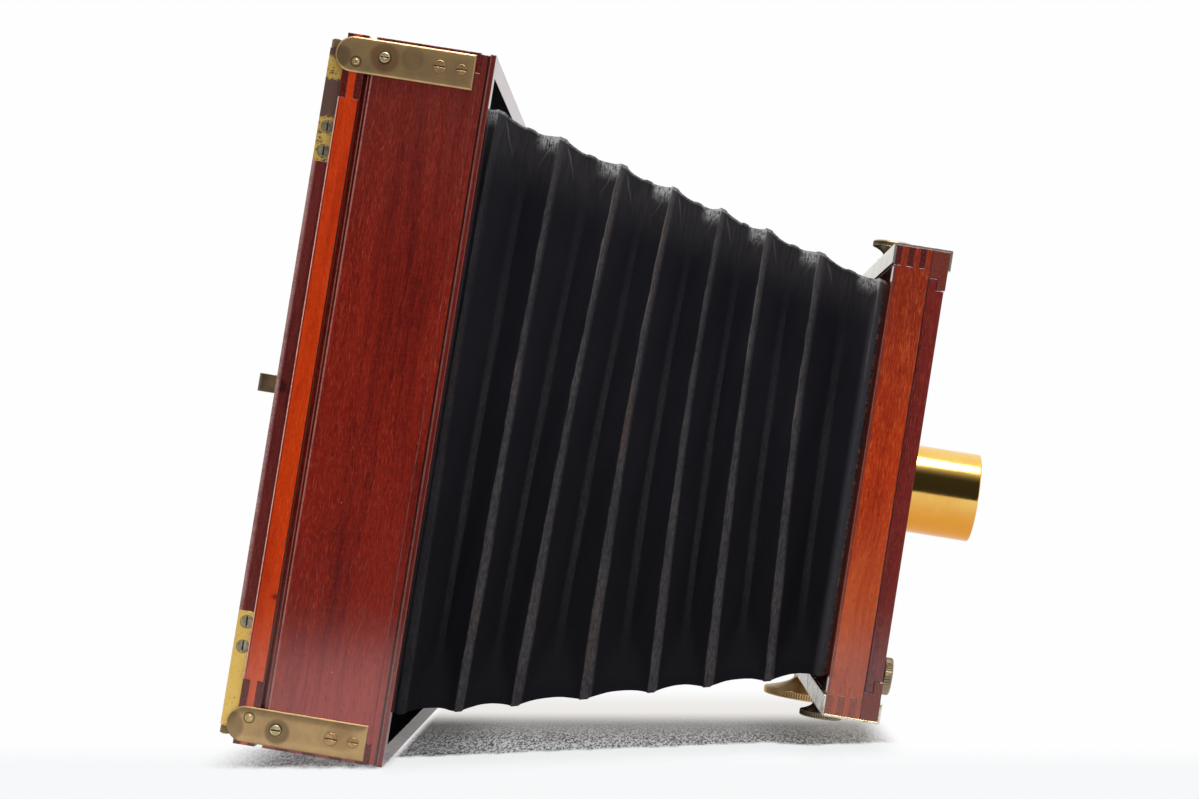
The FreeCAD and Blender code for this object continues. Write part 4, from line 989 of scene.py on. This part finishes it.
# %% Screws
def screw_metal(name, low, high, top=None, slot=0.3, wells=()):
    """Mottled metal between two tones, painted lighter on its edges as a highlight. Below top - slot the metal
    is painted black as shade in the slots, but only inside the wells, (x, y, radius) in mm, if any are given."""
    f = Finish(name)
    cloud = f.noise(f.spot, 0.5, 3.0)
    speck = f.noise(f.spot, 2.5, 3.0, 0.7)
    edge, eased = f.arris(0.3)
    metal = f.paint(cloud.step(0.3, 0.7), low, high)
    metal = f.paint(speck.step(0.56, 0.68) * 0.5, metal, shaded(low, 0.45))
    # A painted highlight on the head's edges.
    metal = f.paint(edge.step(0.3, 0.9) * 0.6, metal, shaded(high, 1.3))
    shine = 0.8
    if top is not None:
        x, y, z = f.axes(f.spot)
        # Painted shade: black where the slot floor lies below the head.
        slot_shade = z.fall(top - slot, top - slot + 0.12)
        if wells:
            near = [((x - at_x) ** 2 + (y - at_y) ** 2) ** 0.5 for at_x, at_y, _ in wells]
            inside = [away.fall(radius, radius + 0.1) for away, (_, _, radius) in zip(near, wells)]
            slot_shade = slot_shade * sum(inside[1:], inside[0]).least(1)
        metal = f.paint(slot_shade * 0.95, metal, tone(22, 18, 15))
        shine = (1 - slot_shade) * shine
    return f.show(base_color=metal, metallic=shine, roughness=0.3 + 0.2 * speck,
                  normal=f.relief(speck, 0.02, eased))


plain_steel = screw_metal("plain_steel", tone(128, 122, 112), tone(176, 170, 158))
for name in ("flange_screws", "upright_screws", "base_screws", "pinion_shaft"):
    dress(nodes[name], plain_steel)
dress(nodes["strap_screws"], screw_metal("strap_screw_steel", tone(150, 142, 122), tone(206, 198, 176),
                                         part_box("strap_screws")[1].z / mm))
dress(nodes["plate_screws"], screw_metal("plate_screw_brass", tone(186, 144, 96), tone(222, 184, 132),
                                         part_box("plate_screws")[1].z / mm))
for side, sign in (("left", 1), ("right", -1)):
    name = side + "_catch_studs"
    wells = ((sign * screw_x, lift_y, 1.95),)
    dress(nodes[name], screw_metal(side + "_stud_metal", tone(198, 176, 124), tone(244, 228, 182),
                                   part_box(name)[1].z / mm, 0.4, wells))
print("screw finishes on", sum("screw" in name or "stud" in name for name in nodes), "nodes and the pinion shaft")

# %% [markdown]
# ## Glass
# The lenses are clear with a little coating of age. The focusing glass is ground on one side,
# which scatters light evenly and looks pale grey-green.

# %% Glass finishes
def glass(name, colour, rough, grain):
    """Clear or ground glass: rough scatters light, and grain is the height of its tooth in mm."""
    f = Finish(name, transmission_weight=1.0, ior=1.5)
    haze = f.noise(f.spot, 0.15, 3.0)
    tooth = f.noise(f.spot, 6.0, 2.0)
    return f.show(
        base_color=f.paint(haze, colour, shaded(colour, 0.92)),
        roughness=rough + 0.06 * haze,
        normal=f.relief(tooth, grain))


lens_glass = glass("lens_glass", tone(236, 242, 246), 0.0, 0.0005)
ground_glass = glass("ground_glass", tone(214, 226, 220), 0.45, 0.03)
dress(nodes["front_glass"], lens_glass)
dress(nodes["rear_glass"], lens_glass)
dress(nodes["ground_glass"], ground_glass)
bare = [name for name, node in nodes.items() if not node.hide_render
        and any(m is None or "principled" in m.name.lower() for m in node.data.materials)]
print("nodes still bare:", bare)

# %% [markdown]
# ## Table
# The camera lies on its right side, so the table is an upright plane in the frame, through the
# body's edge and the knob rims. It is one-sided: seen from below it lets light and sight
# through.

# %% Table
table_tilt = math.radians(9.1)
table_gap = 0.6 * mm
table_half, table_far, table_near = 2.5, -3.5, 1.02
body_edge = np.array([cad_box[0].x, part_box("body_right_board")[0].y])


def make_table():
    """A flat grid through the body's edge, level for a viewer whose up is the frame's +X turned by the tilt."""
    up = np.array([math.cos(table_tilt), math.sin(table_tilt)])
    across = np.array([-up[1], up[0]])
    low_point = body_edge - table_gap * up
    s, z = np.meshgrid([-table_half, table_half], [table_far, table_near], indexing="ij")
    spots = np.stack([low_point[0] + s * across[0], low_point[1] + s * across[1], z], -1).reshape(-1, 3)
    mesh = bpy.data.meshes.new("table")
    mesh.from_pydata(spots.tolist(), [], [(0, 1, 3, 2)])
    if mesh.polygons[0].normal.x < 0:
        mesh.flip_normals()
    piece = bpy.data.objects.new("table", mesh)
    bpy.context.scene.collection.objects.link(piece)
    return piece


table = make_table()
print("table tilted by", round(math.degrees(table_tilt), 1), "degrees")

# %% [markdown]
# The table is white paint. Its sheet of light comes from an Emission shader that only sight,
# and reflections in metal and glass, can see, so it adds no light to the camera; near the camera
# that sheet carries painted soft shade. Where the camera shades it, the lit surface shows instead,
# its shadow deepened by a grey paint that is painted shadow, with white grains that are painted
# glints. The masks below draw the outline of that painted shadow: under the box, under the back
# and under the front foot.

# %% Painted shadow and painted glints on the table
def painted_shadow_grain(f):
    """Painted shadow: a grey paint with white grains as painted glints, sharper near the viewer, and a darker
    painted shadow under the front foot.
    """
    glint_noise = f.streaks((1.0, 0.9, 0.16), 1.0, 2.0, 0.7)
    f.speckle = (glint_noise.step(0.38, 0.62) - 0.5) * (f.z.step(140, 215) * 0.85 + 0.15)
    painted_foot_shadow = f.y.fall(-96, -72) * f.z.step(140, 190) * 0.5
    # Painted shadow: grey paint that deepens the shade, white grains as painted glints, and a dark painted shadow
    # under the front foot.
    paint = f.coats(tone(128, 124, 121), (0.5 + f.speckle, tone(222, 220, 218)), (painted_foot_shadow, tone(84, 74, 68)))
    f.show(base_color=paint, roughness=0.5 + 0.2 * glint_noise)


def outside_painted_shadow(f):
    """1 outside the camera's painted shadow on the table, whose outline these masks draw. f.front is how far
    towards the viewer a spot lies, f.beside is the camera's length along Y, and even in the painted shadow a share
    of the white shows between the grains as painted glints."""
    wisp = f.streaks((1.0, 0.02, 0.06), 1.0, 2.0) * 14
    f.front = f.z - f.y * 0.4 + wisp - f.y.fall(-100, -72) * 20
    f.beside = between(f.y, -138, -120, 80, 86)
    # Outlines of the painted shadow under the box and under the back.
    painted_box_shadow = f.beside * f.z.step(72, 150) * f.front.fall(249, 261)
    painted_back_shadow = between(f.y, 80, 88, 125, 165) * f.z.step(222, 262) * (f.z + wisp).fall(314, 336)
    # A share of white between the grains, as painted glints, lifts the painted shadow.
    white_in_painted_shadow = 0.13 + 0.17 * f.y.fall(34, 74) - 0.13 * f.y.fall(-95, -60)
    return 1 - painted_box_shadow.most(painted_back_shadow * 0.96) * (1 - white_in_painted_shadow * (1 + f.speckle * 1.5))


def sheet_of_light(f):
    """Near white everywhere, a little greyer near the viewer, and painted soft shade beside and in front of the
    camera.
    """
    # Painted soft shade beside the camera and in front of its shadow's edge.
    painted_shade_in_front = f.beside * between(f.front, 240, 258, 262, 330) * 0.7
    colour = f.coats(
        tone(254, 254, 255), (f.z.step(225, 320), tone(247, 248, 249)),
        (f.beside * between(f.z, -60, 60, 200, 230), tone(237, 234, 231)), (painted_shade_in_front, tone(228, 230, 230)))
    return f.node("Emission", None, {"Color": colour})


# %% Table finish
def table_paint():
    """Mixes light and paint by what is looking, and nothing at all for a look from below."""
    f = Finish("white_table", specular_ior_level=0.2)
    _, f.y, f.z = f.axes(f.spot)
    painted_shadow_grain(f)
    free, light = outside_painted_shadow(f), sheet_of_light(f)
    path = f.node("LightPath")
    sight = f.number(path, "Is Camera Ray").most(f.number(path, "Is Transmission Ray"))
    mirrored = f.z.step(325, 345).most(f.y.fall(-110, -80)).most(0.35)
    seen = sight * free + f.number(path, "Is Glossy Ray") * (1 - sight) * mirrored
    above = f.node("MixShader", None, {0: seen, 1: f.shader.outputs[0], 2: light.outputs[0]})
    behind = f.node("NewGeometry").outputs["Backfacing"]
    both = f.node("MixShader", None, {0: behind, 1: above.outputs[0], 2: f.node("BsdfTransparent").outputs[0]})
    f.feed(f.tree.nodes["Material Output"].inputs["Surface"], both.outputs[0])
    return f.material


dress(table, table_paint())

# %% [markdown]
# ## Light
# A large soft lamp hangs over the table and a wider one stands by the viewer, and the room is
# white. A reflection of the room is dark towards the viewer's side, which keeps the polished
# top from turning grey, as in a real studio.

# %% Room and lamps
world = bpy.data.worlds.new("studio")
world.use_nodes = True
bpy.context.scene.world = world
w = Wiring(world.node_tree)
room_glow, darkest_mirror = 0.45, 0.03
path = w.node("LightPath")
sight = w.number(path, "Is Camera Ray").most(w.number(path, "Is Transmission Ray"))
glossy = w.number(path, "Is Glossy Ray")
toward = w.axes(w.node("TexCoord").outputs["Generated"])[2]
mirror = toward.fall(0.08, 0.76) * (1 - darkest_mirror) + darkest_mirror
level = sight + (1 - sight) * (glossy * mirror + (1 - glossy) * room_glow)
air = w.node("Background", None, {"Color": tone(254, 254, 255), "Strength": level})
w.feed(w.node("OutputWorld").inputs["Surface"], air.outputs[0])


aim = Vector((0, 0, 0.15))


def lamp(name, place, size, power, mirrored):
    """A round soft lamp aimed at the object's middle. size is in metres, power in watts."""
    data = bpy.data.lights.new(name, "AREA")
    data.shape, data.size, data.energy = "DISK", size, power
    piece = bpy.data.objects.new(name, data)
    bpy.context.scene.collection.objects.link(piece)
    piece.location = place
    piece.rotation_euler = (aim - Vector(place)).to_track_quat("-Z", "Y").to_euler()
    piece.visible_glossy = mirrored
    print("lamp", name, power, "W")


lamp("overhead", (1.25, 0.0, 0.42), 0.7, 15, True)
lamp("front_fill", (0.35, -0.25, 1.7), 1.2, 9, False)

# %% [markdown]
# ## Camera
# The viewer's camera looks down on the top board from 1.35 m and is turned so that the object's
# left side is up. Its lens is long enough to keep the box almost square.

# %% Camera
camera_data = bpy.data.cameras.new("camera")
camera_data.lens, camera_data.sensor_width = 75.06, 36.0
camera_data.clip_start, camera_data.clip_end = 0.05, 20
camera = bpy.data.objects.new("camera", camera_data)
bpy.context.scene.collection.objects.link(camera)
camera.location = (-0.0081, -0.0119, 1.3524)
camera.rotation_euler = tuple(math.radians(v) for v in (1.5332, 1.5116, -80.9087))
bpy.context.scene.camera = camera
bpy.context.scene.view_settings.view_transform = "Standard"
print("lens", round(camera_data.lens), "mm at", round(camera.location.z, 2), "m")
